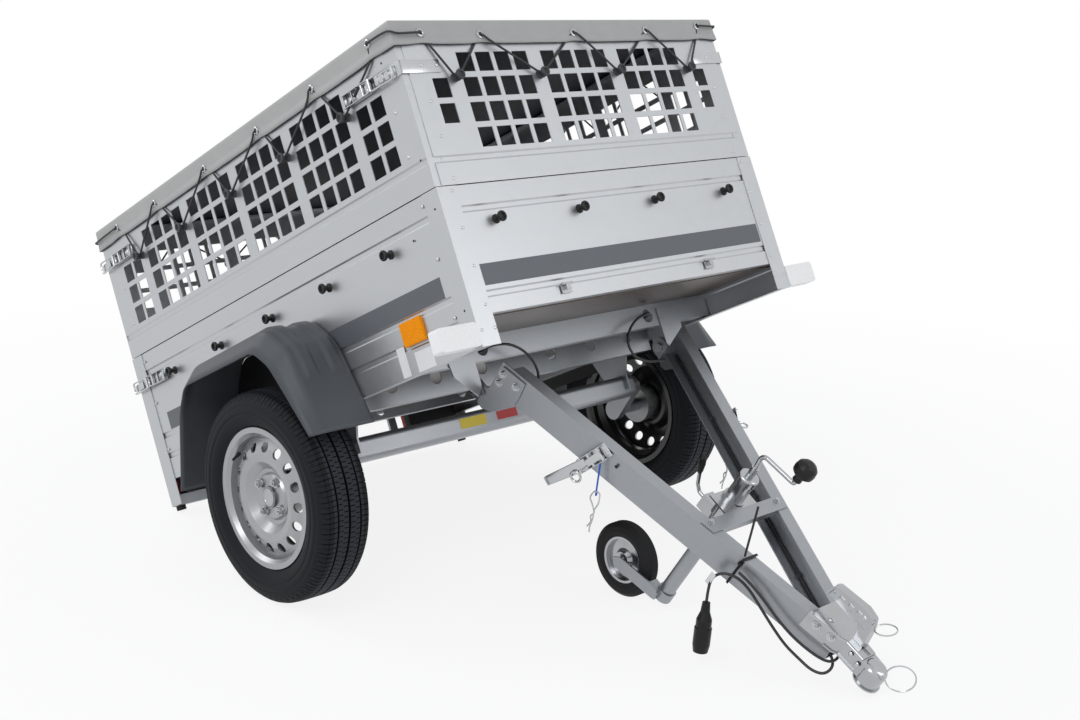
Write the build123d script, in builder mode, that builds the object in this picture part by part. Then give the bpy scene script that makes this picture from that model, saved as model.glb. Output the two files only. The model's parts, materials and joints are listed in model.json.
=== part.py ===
"""Small single-axle tipping trailer: sheet-steel box, mesh walls, flat cover, hinged V drawbar.

Millimetres, +Z up, +X towards the coupling, +Y to the trailer's left, ground at z = 0.
The bed leans back on its rear feet, and the drawbar hangs from its hinge onto the jockey wheel.
"""
import os
from math import asin, atan2, cos, hypot, radians, sin, tan

from build123d import *

# Box: x = 0 at the front, z = 0 at the seam between the lower and the mesh walls
box_length = 1530
box_width = 1136
lower_height = 380
upper_height = 395
sheet = 2.5
floor_top = -300
front_wall_bottom = -307
post_leg = 57
wall_flange = 30
rear_post_bottom = -456
bead_proud = 3
bead_half = 5
bead_slope = 4
side_beads = (-59, -252, -312)
front_beads = (-59, -262)
grille_bead = 62
seam_gap = 2
gate_top_gap = 8
gate_side_gap = 6

# Mesh walls
hole_width = 47.5
hole_height = 48.5
hole_pitch_along = 60.5
hole_pitch_up = 62.5
hole_bottom = 84
grille_rows = 4
grille_columns = 4
side_group_pitch = 271
side_end_group_inset = 148
front_group_pitch = 277
front_end_column_inset = 106
grille_flange = 28
corner_flange = 40

# Flat cover
cover_thickness = 3
cover_gap = 3
cover_skirt = 62

# Bed stance and running gear
bed_tip = 26.5
wheel_x = -770
wheel_z = -543
tyre_radius = 273.5
tyre_width = 155
tyre_shoulder = 26
rim_seat_radius = 165
rim_lip_rise = 17
rim_lip_radius = rim_seat_radius + rim_lip_rise
rim_lip_height = 12
rim_wall = 5
rim_width = 128
rim_well_depth = 17
rim_well_radius = rim_seat_radius - rim_well_depth
disc_wall = 6
vent_inset = 34
disc_face = (  # radius and y of the disc's outer face, from the barrel to the hub hole
    (rim_seat_radius - 19, 43),
    (rim_seat_radius - vent_inset, 52),
    (rim_seat_radius - 53, 58),
    (rim_seat_radius - 73, 54),
    (72, 36),
    (62, 33),
    (56, 40),
    (28, 40),
)
vent_count = 16
vent_radius = 13
vent_circle = rim_seat_radius - vent_inset
vent_reach = 25
hub_inner = -28
hub_radius = 55
hub_cap_radius = 27
hub_cap_face = 47
stub_end = 20
tyre_to_box = 30
axle_height = 64
axle_depth = 64
axle_x = -680
axle_z = -489
axle_corner = 16
axle_end_gap = 24
arm_thickness = 26
arm_width = 58
stub_radius = 19
bracket_thickness = 6

# Mudguards
guard_width = 189
guard_wall = 4
guard_crown = 152
guard_bend = 16
guard_profile = (  # x and z of the outer corners, rear to front
    (-1120, -450),
    (-1012, -230),
    (-952, -154),
    (-595, -151),
    (-524, -224),
    (-466, -446),
)
guard_lip_profile = (
    (-1120, -450),
    (-1021, -259),
    (-962, -198),
    (-615, -199),
    (-563, -248),
    (-475, -446),
)
guard_rib_width = 38
guard_rib_proud = 4
guard_rib_places = (34, 112)  # middle of each rib, from the box's side
guard_rib_profile = (
    (-664, -151),
    (-595, -151),
    (-524, -224),
    (-502, -308),
)

# Chassis
cross_flange = 35
cross_hole_radius = 19
rear_member_inset = 350
cross_members = (  # name, x of the web, z of the lower edge, gap to the box's side, y of the holes
    ("cross_member_front", -300, -373, 8, (-309, 309)),
    ("cross_member_middle", -528, -410, 38, (-440, -290, -130, 130, 290, 440)),
    ("cross_member_rear", rear_member_inset - box_length, -373, 8, (-330, 0, 330)),
)
rear_bar_height = 30
rear_bar_depth = 34
lamp_length = 200
lamp_height = 92
lamp_depth = 42
lamp_corner = 10
lamp_side_gap = 33
foot_radius = 14
foot_length = 13.181310
foot_gap = 2.5
guide_inner_y = 347
guide_outer_y = 434
guide_top_z = -325
guide_waist_z = -398
guide_tip_y = 366
guide_tip_z = -457
guide_thickness = 4
cheek_radius = 24
marker_length = 116
marker_height = 56
marker_depth = 36
marker_corner = 8
marker_z = -349
reflector_length = 82
reflector_height = 58
reflector_depth = 9
reflector_x = -222
reflector_z = -282
latch_length = 160
latch_height = 33
latch_front_x = -138
latch_rear_inset = 100
latch_z = 287
strap_half_gap = 455
strap_reach = 222
gate_barrel_radius = 7
gate_axis_out = 7
gate_axis_z = -314
gate_barrel_y = (240, 280)
gate_strap_y = (281, 311)
latch_low_z = -89
hook_y = 264
hook_z = -280

# Drawbar: x from the tilt hinge, z from its axis
hinge_x = -320
hinge_z = -432
beam_hinge_y = 345
beam_slope = 0.305
beam_rear = 28
beam_flange_rear = 55
beam_split = 0.5
beam_top = 115
beam_height = 80
beam_flange = 40
beam_front = 1012
beam_wall = 4
arm_plate = 5
arm_gap = 0.5
arm_outer_y = 344.5
hinge_arm_radius = 26
hinge_pin_radius = 9
pin_head_radius = 13
cross_channel_front = 653
cross_channel_width = 38
cross_channel_depth = 42
cross_channel_lip = 16
plate_rear = 925
coupling_neck = 27
coupling_nose = 31
coupling_bend = 6
nose_bend = 17
neck_start = 1026
neck_end = 1078
ball_x = 1108
ball_z = 87
ball_radius = 25
nose_low = 64
coupling_low = 74
coupling_wall = 4
lip_proud = 4
lip_height = 4
slot_x = (1046, 1076)
slot_half = 6
lever_half = 12
lever_plate_half = 5
lever_rim = 4
lever_holes = (  # x, z and radius of the round holes in the lever's plate
    (922, 167, 4),
    (1013, 182, 6),
    (1024, 163, 4),
)
lever_windows = ((946, 171), (973, 176), (998, 181))
lever_window = (15, 9)

# Jockey wheel
jockey_x = 583
jockey_outer_radius = 24
jockey_inner_radius = 20
jockey_outer_top = 198
jockey_outer_bottom = -20
jockey_leg_top = 60
jockey_foot_z = -235
jockey_wheel_radius = 100
jockey_wheel_width = 46
jockey_hub_back = 144
jockey_hub_z = -281
jockey_rim_radius = 62
jockey_slide_gap = 0.05
clamp_half = 60
crank_radius = 6
jockey_cap_radius = 27
knob_base = (684, 294)
knob_way = (3, 44)
knob_profile = (  # radius and distance along the knob's axis
    (12, 0),
    (11, 16),
    (20, 20),
    (27, 27),
    (28, 36),
    (26, 48),
    (19, 56),
    (10, 59),
)
grip_base = (470, 90)
grip_way = (-17, 46)
grip_profile = (
    (6, 0),
    (8, 6),
    (10, 24),
    (9, 40),
    (5, 48),
)

# Tilt lock and cords
tilt_lock_x = 358
cord_diameter = 7
loop_diameter = 7
plug_length = 125
plug_radius = 21

# Worked out
half_width = box_width / 2
gate_axis_x = -box_length - gate_axis_out
latch_rear_x = latch_rear_inset - box_length
lamp_outer_y = half_width - lamp_side_gap
guard_outer_y = half_width + guard_width
guard_crease_y = half_width + guard_crown
wall_y = half_width - sheet
tip = radians(bed_tip)
wheel_y = half_width + tyre_to_box + tyre_width / 2
floor_bottom = floor_top - 10
bed_height = tyre_radius - wheel_x * sin(tip) - wheel_z * cos(tip)


def tipped(x, z):
    """Row-frame x and z of a point given in the bed's own axes."""
    return x * cos(tip) - z * sin(tip), bed_height + x * sin(tip) + z * cos(tip)


hinge_row_x, hinge_row_z = tipped(hinge_x, hinge_z)
jockey_reach = hypot(jockey_x - jockey_hub_back, jockey_hub_z)
jockey_bearing = atan2(jockey_hub_z, jockey_x - jockey_hub_back)
droop = asin((jockey_wheel_radius - hinge_row_z) / jockey_reach) - jockey_bearing
nose_x = ball_x + coupling_nose
coupling_top = beam_top + coupling_wall + 0.5
rear_edge = tipped(-box_length - cover_gap - cover_thickness, upper_height + cover_gap + cover_thickness)[0]
front_edge = hinge_row_x + nose_x * cos(droop) - (coupling_top - nose_bend / 2) * sin(droop)
shift = -(rear_edge + front_edge) / 2


def leaning(x, z, angle):
    """A frame whose x axis leans up by an angle about Y."""
    return Plane(origin=(x, 0, z), x_dir=(cos(angle), 0, sin(angle)), z_dir=(-sin(angle), 0, cos(angle)))


BED = leaning(shift, bed_height, tip)
DRAWBAR = leaning(hinge_row_x + shift, hinge_row_z, droop)
pieces = {}


def keep(name, piece, frame):
    """Put a piece into the row frame under its node name."""
    placed = piece.part.moved(frame.location)
    placed.label = name
    pieces[name] = placed


def keep_pair(name, piece, frame):
    """Keep a left-hand piece and its mirror image on the right."""
    keep(name + "_left", piece, frame)
    placed = piece.part.mirror(Plane.XZ).moved(frame.location)
    placed.label = name + "_right"
    pieces[placed.label] = placed


def keep_both(name, piece, frame):
    """Keep a left-hand piece and its mirror image as two solids of one node."""
    both = Compound(children=[piece.part, piece.part.mirror(Plane.XZ)])
    placed = both.moved(frame.location)
    placed.label = name
    pieces[name] = placed


def block(x, y, z, mode=Mode.ADD):
    """A box between two limits on each axis, in the current part."""
    with Locations(((x[0] + x[1]) / 2, (y[0] + y[1]) / 2, (z[0] + z[1]) / 2)):
        Box(x[1] - x[0], y[1] - y[0], z[1] - z[0], mode=mode)


def rod(start, end, radius, mode=Mode.ADD):
    """A round bar between two points, in the current part."""
    axis = Vector(end) - Vector(start)
    with Locations(Plane(origin=start, z_dir=axis).location):
        Cylinder(radius, axis.length, align=(Align.CENTER, Align.CENTER, Align.MIN), mode=mode)


def beaded(top, bottom, beads, outer, top_flange, bottom_flange):
    """Corner points of a beaded sheet's outer line, from the top flange to the bottom flange."""
    points = [(outer - top_flange, top), (outer, top)]
    for z in beads:
        points += [(outer, z + bead_half + bead_slope), (outer - bead_proud, z + bead_half)]
        points += [(outer - bead_proud, z - bead_half), (outer, z - bead_half - bead_slope)]
    return points + [(outer, bottom), (outer - bottom_flange, bottom)]


def folded(plane, points, length):
    """A sheet folded along a line of corner points and drawn out along the plane's normal."""
    with BuildPart() as piece:
        with BuildSketch(plane) as section:
            with BuildLine():
                Polyline(*points)
                offset(amount=sheet, side=Side.RIGHT)
            make_face()
        extrude(amount=length)
    return piece


# Lower walls
side_section = Plane(origin=(-box_length + sheet, 0, 0), x_dir=(0, 1, 0), z_dir=(1, 0, 0))
side_wall = folded(
    side_section,
    beaded(-seam_gap, -lower_height, side_beads, wall_y, wall_flange, wall_flange),
    box_length - 2 * sheet,
)
keep_pair("side_wall", side_wall, BED)

front_half = wall_y - wall_flange - 1
front_section = Plane(origin=(0, front_half, 0), x_dir=(1, 0, 0), z_dir=(0, -1, 0))
front_wall = folded(
    front_section,
    beaded(-seam_gap, front_wall_bottom, front_beads, -sheet, wall_flange, wall_flange),
    2 * front_half,
)
keep("front_wall", front_wall, BED)

gate_half = half_width - post_leg - gate_side_gap
gate_section = Plane(origin=(-box_length, -gate_half, 0), x_dir=(-1, 0, 0), z_dir=(0, 1, 0))
tailgate = folded(
    gate_section,
    beaded(-gate_top_gap, floor_bottom, front_beads, 0, wall_flange, wall_flange),
    2 * gate_half,
)
with BuildPart() as tailgate_hinged:
    add(tailgate.part)
    for side in (1, -1):
        barrel_y = sorted(side * y for y in gate_barrel_y)
        ends = [(gate_axis_x, y, gate_axis_z) for y in barrel_y]
        rod(*ends, gate_barrel_radius)
        block((gate_axis_x - 3, -box_length + 0.5), barrel_y, (gate_axis_z, gate_axis_z + 40))
keep("tailgate", tailgate_hinged, BED)

with BuildPart() as floor:
    floor_half = wall_y - sheet - bead_proud - 1
    block(
        (-box_length + wall_flange + 6, -sheet - wall_flange - 1),
        (-floor_half, floor_half),
        (floor_bottom, floor_top),
    )
keep("floor", floor, BED)


# Corner posts, outside the walls
def corner_post(corner_x, inward, top, bottom):
    """An L-shaped post at a left-hand corner, with its legs along X and Y."""
    with BuildPart() as piece:
        with BuildSketch(Plane.XY.offset(bottom)):
            with BuildLine():
                Polyline(
                    (corner_x, half_width - post_leg),
                    (corner_x, half_width),
                    (corner_x + inward * post_leg, half_width),
                    (corner_x + inward * post_leg, half_width - sheet + 0.2),
                    (corner_x + inward * (sheet - 0.2), half_width - sheet + 0.2),
                    (corner_x + inward * (sheet - 0.2), half_width - post_leg),
                    close=True,
                )
            make_face()
        extrude(amount=top - bottom)
    return piece


keep_both("front_posts", corner_post(0, -1, -seam_gap, -lower_height), BED)
keep_both("rear_posts", corner_post(-box_length, 1, -seam_gap, rear_post_bottom), BED)

# Mesh walls
side_end_group_centre = box_length / 2 - side_end_group_inset
front_end_column_centre = half_width - front_end_column_inset
side_groups = [(place * side_group_pitch, grille_columns, 0, grille_rows) for place in (-1.5, -0.5, 0.5, 1.5)]
side_groups += [(-side_end_group_centre, 2, 0, 3), (side_end_group_centre, 2, 0, 3)]
front_groups = [(place * front_group_pitch, grille_columns, 0, grille_rows) for place in (-1, 0, 1)]
front_groups += [(-front_end_column_centre, 1, 1, 2), (front_end_column_centre, 1, 1, 2)]


def mesh_holes(plane, groups):
    """The groups of square holes in a wall; rows count up from the lowest."""
    with BuildSketch(plane) as holes:
        for centre, columns, first_row, rows in groups:
            low = hole_bottom + hole_height / 2 + first_row * hole_pitch_up
            with Locations((centre, low + (rows - 1) * hole_pitch_up / 2)):
                with GridLocations(hole_pitch_along, hole_pitch_up, columns, rows):
                    Rectangle(hole_width, hole_height)
    return holes.sketch


def mesh_outline(outer):
    """Corner points of a mesh wall's outer line, from the top flange to the bottom flange."""
    return beaded(upper_height, 0, (grille_bead,), outer, grille_flange, grille_flange)


mesh_side_plane = Plane(origin=(-box_length / 2, half_width + 1, 0), x_dir=(-1, 0, 0), z_dir=(0, 1, 0))
with BuildPart() as grille_side:
    with BuildSketch(Plane(origin=(-box_length + sheet, 0, 0), x_dir=(0, 1, 0), z_dir=(1, 0, 0))):
        with BuildLine():
            Polyline(*mesh_outline(half_width))
            offset(amount=sheet, side=Side.RIGHT)
        make_face()
    extrude(amount=box_length - 2 * sheet)
    extrude(mesh_holes(mesh_side_plane, side_groups), amount=-sheet - 3, mode=Mode.SUBTRACT)
    for x in ((-sheet - sheet, -sheet), (-box_length + sheet, -box_length + 2 * sheet)):
        block(x, (half_width - corner_flange, half_width), (sheet, upper_height - sheet))
keep_pair("grille_side", grille_side, BED)

mesh_half = half_width - 19
for name, face_x, outward in (("grille_front", 0, 1), ("grille_rear", -box_length, -1)):
    with BuildPart() as grille_end:
        wall_plane = Plane(origin=(face_x, mesh_half * outward, 0), x_dir=(outward, 0, 0), z_dir=(0, -outward, 0))
        with BuildSketch(wall_plane):
            with BuildLine():
                Polyline(*mesh_outline(0))
                offset(amount=sheet, side=Side.RIGHT)
            make_face()
        extrude(amount=2 * mesh_half)
        face_plane = Plane(origin=(face_x + outward, 0, 0), x_dir=(0, outward, 0), z_dir=(outward, 0, 0))
        extrude(mesh_holes(face_plane, front_groups), amount=-sheet - 3, mode=Mode.SUBTRACT)
        for side in (1, -1):
            edge = sorted((side * (mesh_half + 1), side * (half_width - corner_flange - 1)))
            flange_x = sorted((face_x - outward * (sheet - 0.2), face_x - outward * (grille_flange + 1)))
            block(flange_x, edge, (-1, upper_height + 1), Mode.SUBTRACT)
    keep(name, grille_end, BED)

# Flat cover: a sheet with a skirt all round
cover_low = upper_height + 0.5
cover_x = (-box_length - cover_gap - cover_thickness, cover_gap + cover_thickness)
cover_y = half_width + cover_gap + cover_thickness
with BuildPart() as cover:
    block(cover_x, (-cover_y, cover_y), (cover_low - cover_skirt, cover_low + cover_thickness))
    block(
        (cover_x[0] + cover_thickness, cover_x[1] - cover_thickness),
        (-cover_y + cover_thickness, cover_y - cover_thickness),
        (cover_low - cover_skirt - 1, cover_low),
        Mode.SUBTRACT,
    )
keep("cover", cover, BED)

# Chassis
for name, web_x, low, side_gap, holes in cross_members:
    half_span = half_width - side_gap
    with BuildPart() as cross_member:
        block((web_x - 3, web_x), (-half_span, half_span), (low, floor_bottom - 0.5))
        block((web_x - cross_flange, web_x), (-half_span, half_span), (low, low + 3))
        flange_z = (floor_bottom - 3.5, floor_bottom - 0.5)
        block((web_x - cross_flange, web_x), (-half_span, half_span), flange_z)
        with BuildSketch(Plane(origin=(web_x + 30, 0, 0), x_dir=(0, 1, 0), z_dir=(1, 0, 0))):
            with Locations([(y, (low + floor_bottom) / 2) for y in holes]):
                Circle(cross_hole_radius)
        extrude(amount=-60, mode=Mode.SUBTRACT)
    keep(name, cross_member, BED)

with BuildPart() as rear_bar:
    block(
        (-box_length + sheet + 0.5, -box_length + sheet + 0.5 + rear_bar_depth),
        (-half_width + sheet, half_width - sheet),
        (rear_post_bottom - 2, rear_post_bottom - 2 + rear_bar_height),
    )
    for side in (1, -1):
        strap_y = sorted(side * y for y in gate_strap_y)
        ends = [(gate_axis_x, y, gate_axis_z) for y in strap_y]
        rod(*ends, gate_barrel_radius)
        strap_top = gate_axis_z - 2
        block((gate_axis_x + 2, -box_length + sheet + 1.5), strap_y, (rear_post_bottom, strap_top))
keep("rear_bar", rear_bar, BED)

# Rear feet, of the length that stands on the ground when the bed is tipped
foot_x = -box_length + foot_radius + 4
foot_y = half_width - foot_radius - 4
foot_top = rear_post_bottom - foot_gap
foot_low = foot_top - foot_length
with BuildPart() as rear_feet:
    for side in (1, -1):
        with BuildSketch(Plane.XY.offset(foot_low)):
            with Locations((foot_x, side * foot_y)):
                Circle(foot_radius)
        extrude(amount=foot_length)
keep("rear_feet", rear_feet, BED)

# Mudguards
def guard_strip(y, profile, thickness, side):
    """A bent strip across the wheel at a distance from the middle plane, ready to be drawn out."""
    with BuildSketch(Plane(origin=(0, y, 0), x_dir=(-1, 0, 0), z_dir=(0, 1, 0))) as strip:
        with BuildLine():
            FilletPolyline(*[(-x, z) for x, z in profile], radius=guard_bend)
            offset(amount=thickness, side=side)
        make_face()
    return strip.sketch


with BuildPart() as mudguard:
    inner_strip = guard_strip(half_width + 1, guard_profile, guard_wall, Side.RIGHT)
    extrude(inner_strip, amount=guard_crease_y - half_width - 1)
    crease_strip = guard_strip(guard_crease_y, guard_profile, guard_wall, Side.RIGHT)
    lip_strip = guard_strip(guard_outer_y, guard_lip_profile, guard_wall, Side.RIGHT)
    loft([crease_strip.face(), lip_strip.face()], ruled=True)
    for place in guard_rib_places:
        rib_start = half_width + place - guard_rib_width / 2
        rib_strip = guard_strip(rib_start, guard_rib_profile, guard_rib_proud, Side.LEFT)
        extrude(rib_strip, amount=guard_rib_width)
keep_pair("mudguard", mudguard, BED)

# Axle
axle_half = half_width - axle_end_gap
with BuildPart() as axle_tube:
    with BuildSketch(Plane(origin=(axle_x, -axle_half, axle_z), x_dir=(1, 0, 0), z_dir=(0, 1, 0))):
        RectangleRounded(axle_depth, axle_height, axle_corner)
    extrude(amount=2 * axle_half)
keep("axle_tube", axle_tube, BED)

with BuildPart() as axle_arm:
    with BuildSketch(Plane(origin=(0, axle_half + 1, 0), x_dir=(-1, 0, 0), z_dir=(0, 1, 0))):
        with BuildLine():
            Polyline((-axle_x, axle_z), (-wheel_x, wheel_z))
            offset(amount=arm_width / 2)
        make_face()
    extrude(amount=arm_thickness)
    rod((wheel_x, axle_half + 10, wheel_z), (wheel_x, wheel_y + stub_end, wheel_z), stub_radius)
keep_pair("axle_arm", axle_arm, BED)

bracket_y = half_width - 58
bracket_top = floor_bottom - 1
with BuildPart() as axle_bracket:
    with BuildSketch(Plane(origin=(0, bracket_y, 0), x_dir=(1, 0, 0), z_dir=(0, -1, 0))):
        with BuildLine():
            Polyline(
                (axle_x - 110, bracket_top),
                (axle_x + 110, bracket_top),
                (axle_x + axle_depth / 2 + 14, axle_z + axle_height / 2),
                (axle_x + axle_depth / 2 + 14, axle_z - 10),
                (axle_x - axle_depth / 2 - 14, axle_z - 10),
                (axle_x - axle_depth / 2 - 14, axle_z + axle_height / 2),
                close=True,
            )
        make_face()
    extrude(amount=bracket_thickness)
    with BuildSketch(Plane(origin=(axle_x, bracket_y - 10, axle_z), x_dir=(1, 0, 0), z_dir=(0, 1, 0))):
        RectangleRounded(axle_depth + 0.6, axle_height + 0.6, axle_corner + 0.3)
    extrude(amount=20, mode=Mode.SUBTRACT)
keep_both("axle_brackets", axle_bracket, BED)

# Wheels, turned about the wheel's own axis
def wheel_section(points):
    """A closed ring turned about the wheel axis; points are radius and y from the wheel's middle."""
    with BuildPart() as piece:
        with BuildSketch(Plane(origin=(wheel_x, wheel_y, wheel_z), x_dir=(1, 0, 0), z_dir=(0, 0, 1))):
            with BuildLine():
                Polyline(*points, close=True)
            make_face()
        revolve(axis=Axis((wheel_x, wheel_y, wheel_z), (0, 1, 0)))
    return piece


half_tyre = tyre_width / 2
half_rim = rim_width / 2
tyre = wheel_section((
    (rim_seat_radius, -half_rim + rim_lip_height + 2),
    (rim_lip_radius + 1, -half_rim + rim_wall + 2),
    (rim_lip_radius + 30, -half_tyre),
    (tyre_radius - 34, -half_tyre + 2),
    (tyre_radius - 6, -half_tyre + tyre_shoulder * 0.6),
    (tyre_radius, -half_tyre + tyre_shoulder),
    (tyre_radius, half_tyre - tyre_shoulder),
    (tyre_radius - 6, half_tyre - tyre_shoulder * 0.6),
    (tyre_radius - 34, half_tyre - 2),
    (rim_lip_radius + 30, half_tyre),
    (rim_lip_radius + 1, half_rim - rim_wall - 2),
    (rim_seat_radius, half_rim - rim_lip_height - 2),
))
keep_pair("tyre", tyre, BED)
barrel_inner = rim_seat_radius - 1 - rim_wall
disc_joint = disc_face[0][1] - 6
rim = wheel_section((
    (rim_lip_radius, half_rim - rim_wall),
    (rim_seat_radius - 1, half_rim - rim_lip_height),
    (rim_seat_radius - 1, half_rim - 46),
    (rim_well_radius, half_rim - 62),
    (rim_well_radius, -half_rim + 42),
    (rim_seat_radius - 1, -half_rim + 30),
    (rim_seat_radius - 1, -half_rim + rim_lip_height),
    (rim_lip_radius, -half_rim + rim_wall),
    (rim_lip_radius, -half_rim),
    (rim_seat_radius + 3, -half_rim),
    (barrel_inner, -half_rim + rim_lip_height - 2),
    (barrel_inner, -half_rim + 28),
    (rim_well_radius - rim_wall, -half_rim + 40),
    (rim_well_radius - rim_wall, half_rim - 64),
    (barrel_inner, half_rim - 48),
    (barrel_inner, disc_joint - disc_wall),
    *[(radius, y - disc_wall) for radius, y in disc_face],
    *reversed(disc_face),
    (barrel_inner, disc_joint),
    (barrel_inner, half_rim - rim_lip_height + 2),
    (rim_seat_radius + 3, half_rim),
    (rim_lip_radius, half_rim),
))
with BuildPart() as rim_vented:
    add(rim.part)
    with BuildSketch(Plane(origin=(wheel_x, wheel_y + half_tyre, wheel_z), x_dir=(1, 0, 0), z_dir=(0, 1, 0))):
        with PolarLocations(vent_circle, vent_count):
            Circle(vent_radius)
    extrude(amount=vent_reach - half_tyre, mode=Mode.SUBTRACT)
keep_pair("rim", rim_vented, BED)

hub_face = disc_face[-1][1]
with BuildPart() as hub:
    for radius, low, high in (
        (hub_radius, hub_inner, hub_face - disc_wall - 0.2),
        (hub_cap_radius, hub_face - disc_wall - 1, hub_cap_face),
    ):
        rod((wheel_x, wheel_y + low, wheel_z), (wheel_x, wheel_y + high, wheel_z), radius)
    bore_end = (wheel_x, wheel_y + stub_end + 2, wheel_z)
    rod((wheel_x, wheel_y + hub_inner - 1, wheel_z), bore_end, stub_radius + 0.05, Mode.SUBTRACT)
keep_pair("hub", hub, BED)

# Rear lamps, between the floor and the bar
with BuildPart() as rear_lamp:
    lamp_low = rear_post_bottom - 2 + rear_bar_height + 0.5
    lamp_rear = -box_length + sheet + 0.5
    block(
        (lamp_rear, lamp_rear + lamp_depth),
        (lamp_outer_y - lamp_length, lamp_outer_y),
        (lamp_low, lamp_low + lamp_height),
    )
    fillet(rear_lamp.edges().filter_by(Axis.X), lamp_corner)
keep_both("rear_lamps", rear_lamp, BED)

# Front marker lamps and side reflectors
with BuildPart() as marker_lamp:
    block(
        (-marker_depth + 2, 2),
        (half_width + 0.5, half_width + 0.5 + marker_length),
        (marker_z - marker_height / 2, marker_z + marker_height / 2),
    )
    fillet(marker_lamp.edges().filter_by(Axis.X), marker_corner)
keep_both("marker_lamps", marker_lamp, BED)

with BuildPart() as side_reflector:
    block(
        (reflector_x - reflector_length / 2, reflector_x + reflector_length / 2),
        (wall_y + 0.3, wall_y + 0.3 + reflector_depth),
        (reflector_z - reflector_height / 2, reflector_z + reflector_height / 2),
    )
    fillet(side_reflector.faces().sort_by(Axis.Y)[-1].edges(), reflector_depth / 3)
keep_both("side_reflectors", side_reflector, BED)

# Over-centre latches between the lower and the mesh walls, and front hooks
latch_face = half_width + 0.5
latch_places = (("latches_front", latch_front_x), ("latches_rear", latch_rear_x))
for name, centre_x in latch_places:
    with BuildPart() as latch:
        block(
            (centre_x - latch_length / 2, centre_x + latch_length / 2),
            (latch_face, latch_face + 3),
            (latch_z - latch_height / 2, latch_z + latch_height / 2),
        )
        if centre_x == latch_front_x:
            block((-strap_reach, 3.3), (latch_face, latch_face + 2), (latch_z - 16, latch_z + 16))
            block((0.5, 3.3), (strap_half_gap, latch_face + 2), (latch_z - 16, latch_z + 16))
        for z in (latch_z - latch_height / 2 + 3, latch_z + latch_height / 2 - 3):
            wire_start = centre_x - latch_length / 2 + 8
            wire_end = centre_x + latch_length / 2
            rod((wire_start, latch_face + 14, z), (wire_end, latch_face + 14, z), 2.5)
            rod((wire_start, latch_face + 2, z), (wire_start, latch_face + 16, z), 3)
        block(
            (centre_x - latch_length / 2 + 4, centre_x + latch_length / 6),
            (latch_face + 3, latch_face + 17),
            (latch_z - latch_height / 2 + 6, latch_z + latch_height / 2 - 6),
        )
    keep_both(name, latch, BED)

with BuildPart() as latch_low:
    block(
        (latch_rear_x - latch_length / 2, latch_rear_x + latch_length / 2),
        (half_width + 0.5, half_width + 4),
        (latch_low_z - latch_height / 2, latch_low_z + latch_height / 2),
    )
    block(
        (latch_rear_x - latch_length / 2 + 4, latch_rear_x + latch_length / 4),
        (half_width + 4, half_width + 17),
        (latch_low_z - latch_height / 2 + 6, latch_low_z + latch_height / 2 - 6),
    )
keep_both("latches_low", latch_low, BED)

with BuildPart() as front_hook:
    block((0.3, 3), (hook_y - 16, hook_y + 16), (hook_z - 12, hook_z + 14))
    block((3, 12), (hook_y - 7, hook_y + 7), (hook_z - 4, hook_z + 8))
    rod((9, hook_y - 18, hook_z + 10), (9, hook_y + 18, hook_z + 10), 3)
keep_both("front_hooks", front_hook, BED)

# Tilt hinge: pointed guides on the front cross member, each with a cheek for the pin
guide_face_x = cross_members[0][1] + 0.5
with BuildPart() as guide_bracket:
    with BuildSketch(Plane(origin=(guide_face_x, 0, 0), x_dir=(0, 1, 0), z_dir=(1, 0, 0))):
        with BuildLine():
            Polyline(
                (guide_inner_y, guide_top_z),
                (guide_outer_y, guide_top_z),
                (guide_outer_y - 8, guide_waist_z),
                (guide_tip_y, guide_tip_z),
                (guide_inner_y, guide_tip_z + 24),
                close=True,
            )
        make_face()
    extrude(amount=guide_thickness)
    with BuildSketch(Plane(origin=(0, guide_inner_y, 0), x_dir=(-1, 0, 0), z_dir=(0, 1, 0))):
        with BuildLine():
            cheek_top = cross_members[0][2] - 0.5
            Polyline(
                (-guide_face_x - guide_thickness, cheek_top),
                (-hinge_x + cheek_radius, cheek_top),
                (-hinge_x + cheek_radius, hinge_z),
            )
            RadiusArc((-hinge_x + cheek_radius, hinge_z), (-hinge_x, hinge_z - cheek_radius), cheek_radius)
            Polyline(
                (-hinge_x, hinge_z - cheek_radius),
                (-guide_face_x - guide_thickness, hinge_z - cheek_radius),
                (-guide_face_x - guide_thickness, cheek_top),
            )
        make_face()
    extrude(amount=guide_thickness)
    rod((hinge_x, 0, hinge_z), (hinge_x, half_width, hinge_z), hinge_pin_radius, Mode.SUBTRACT)
keep_both("guide_brackets", guide_bracket, BED)

pin_inner_y = arm_outer_y - arm_plate - 1
with BuildPart() as hinge_pin:
    pin_outer_y = guide_inner_y + guide_thickness + 10
    rod((hinge_x, pin_inner_y, hinge_z), (hinge_x, pin_outer_y, hinge_z), hinge_pin_radius)
    rod((hinge_x, pin_inner_y - 8, hinge_z), (hinge_x, pin_inner_y, hinge_z), pin_head_radius)
    nut_y = guide_inner_y + guide_thickness + 0.2
    rod((hinge_x, nut_y, hinge_z), (hinge_x, nut_y + 9, hinge_z), pin_head_radius)
keep_both("hinge_pins", hinge_pin, BED)


# Drawbar beams: C channels that open inwards and run together at the coupling
def beam_line(x):
    """Distance of a beam's outer face from the middle plane."""
    return beam_hinge_y - beam_slope * x


def beam_strip(x_rear, x_front, inner, z_low, z_high):
    """Part of a beam, from its outer face inwards, between two heights."""
    with BuildSketch(Plane.XY.offset(z_low)) as strip:
        with BuildLine():
            Polyline(
                (x_rear, beam_line(x_rear)),
                (x_front, beam_line(x_front)),
                (x_front, beam_line(x_front) - inner),
                (x_rear, beam_line(x_rear) - inner),
                close=True,
            )
        make_face()
    extrude(strip.sketch, amount=z_high - z_low)


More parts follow.
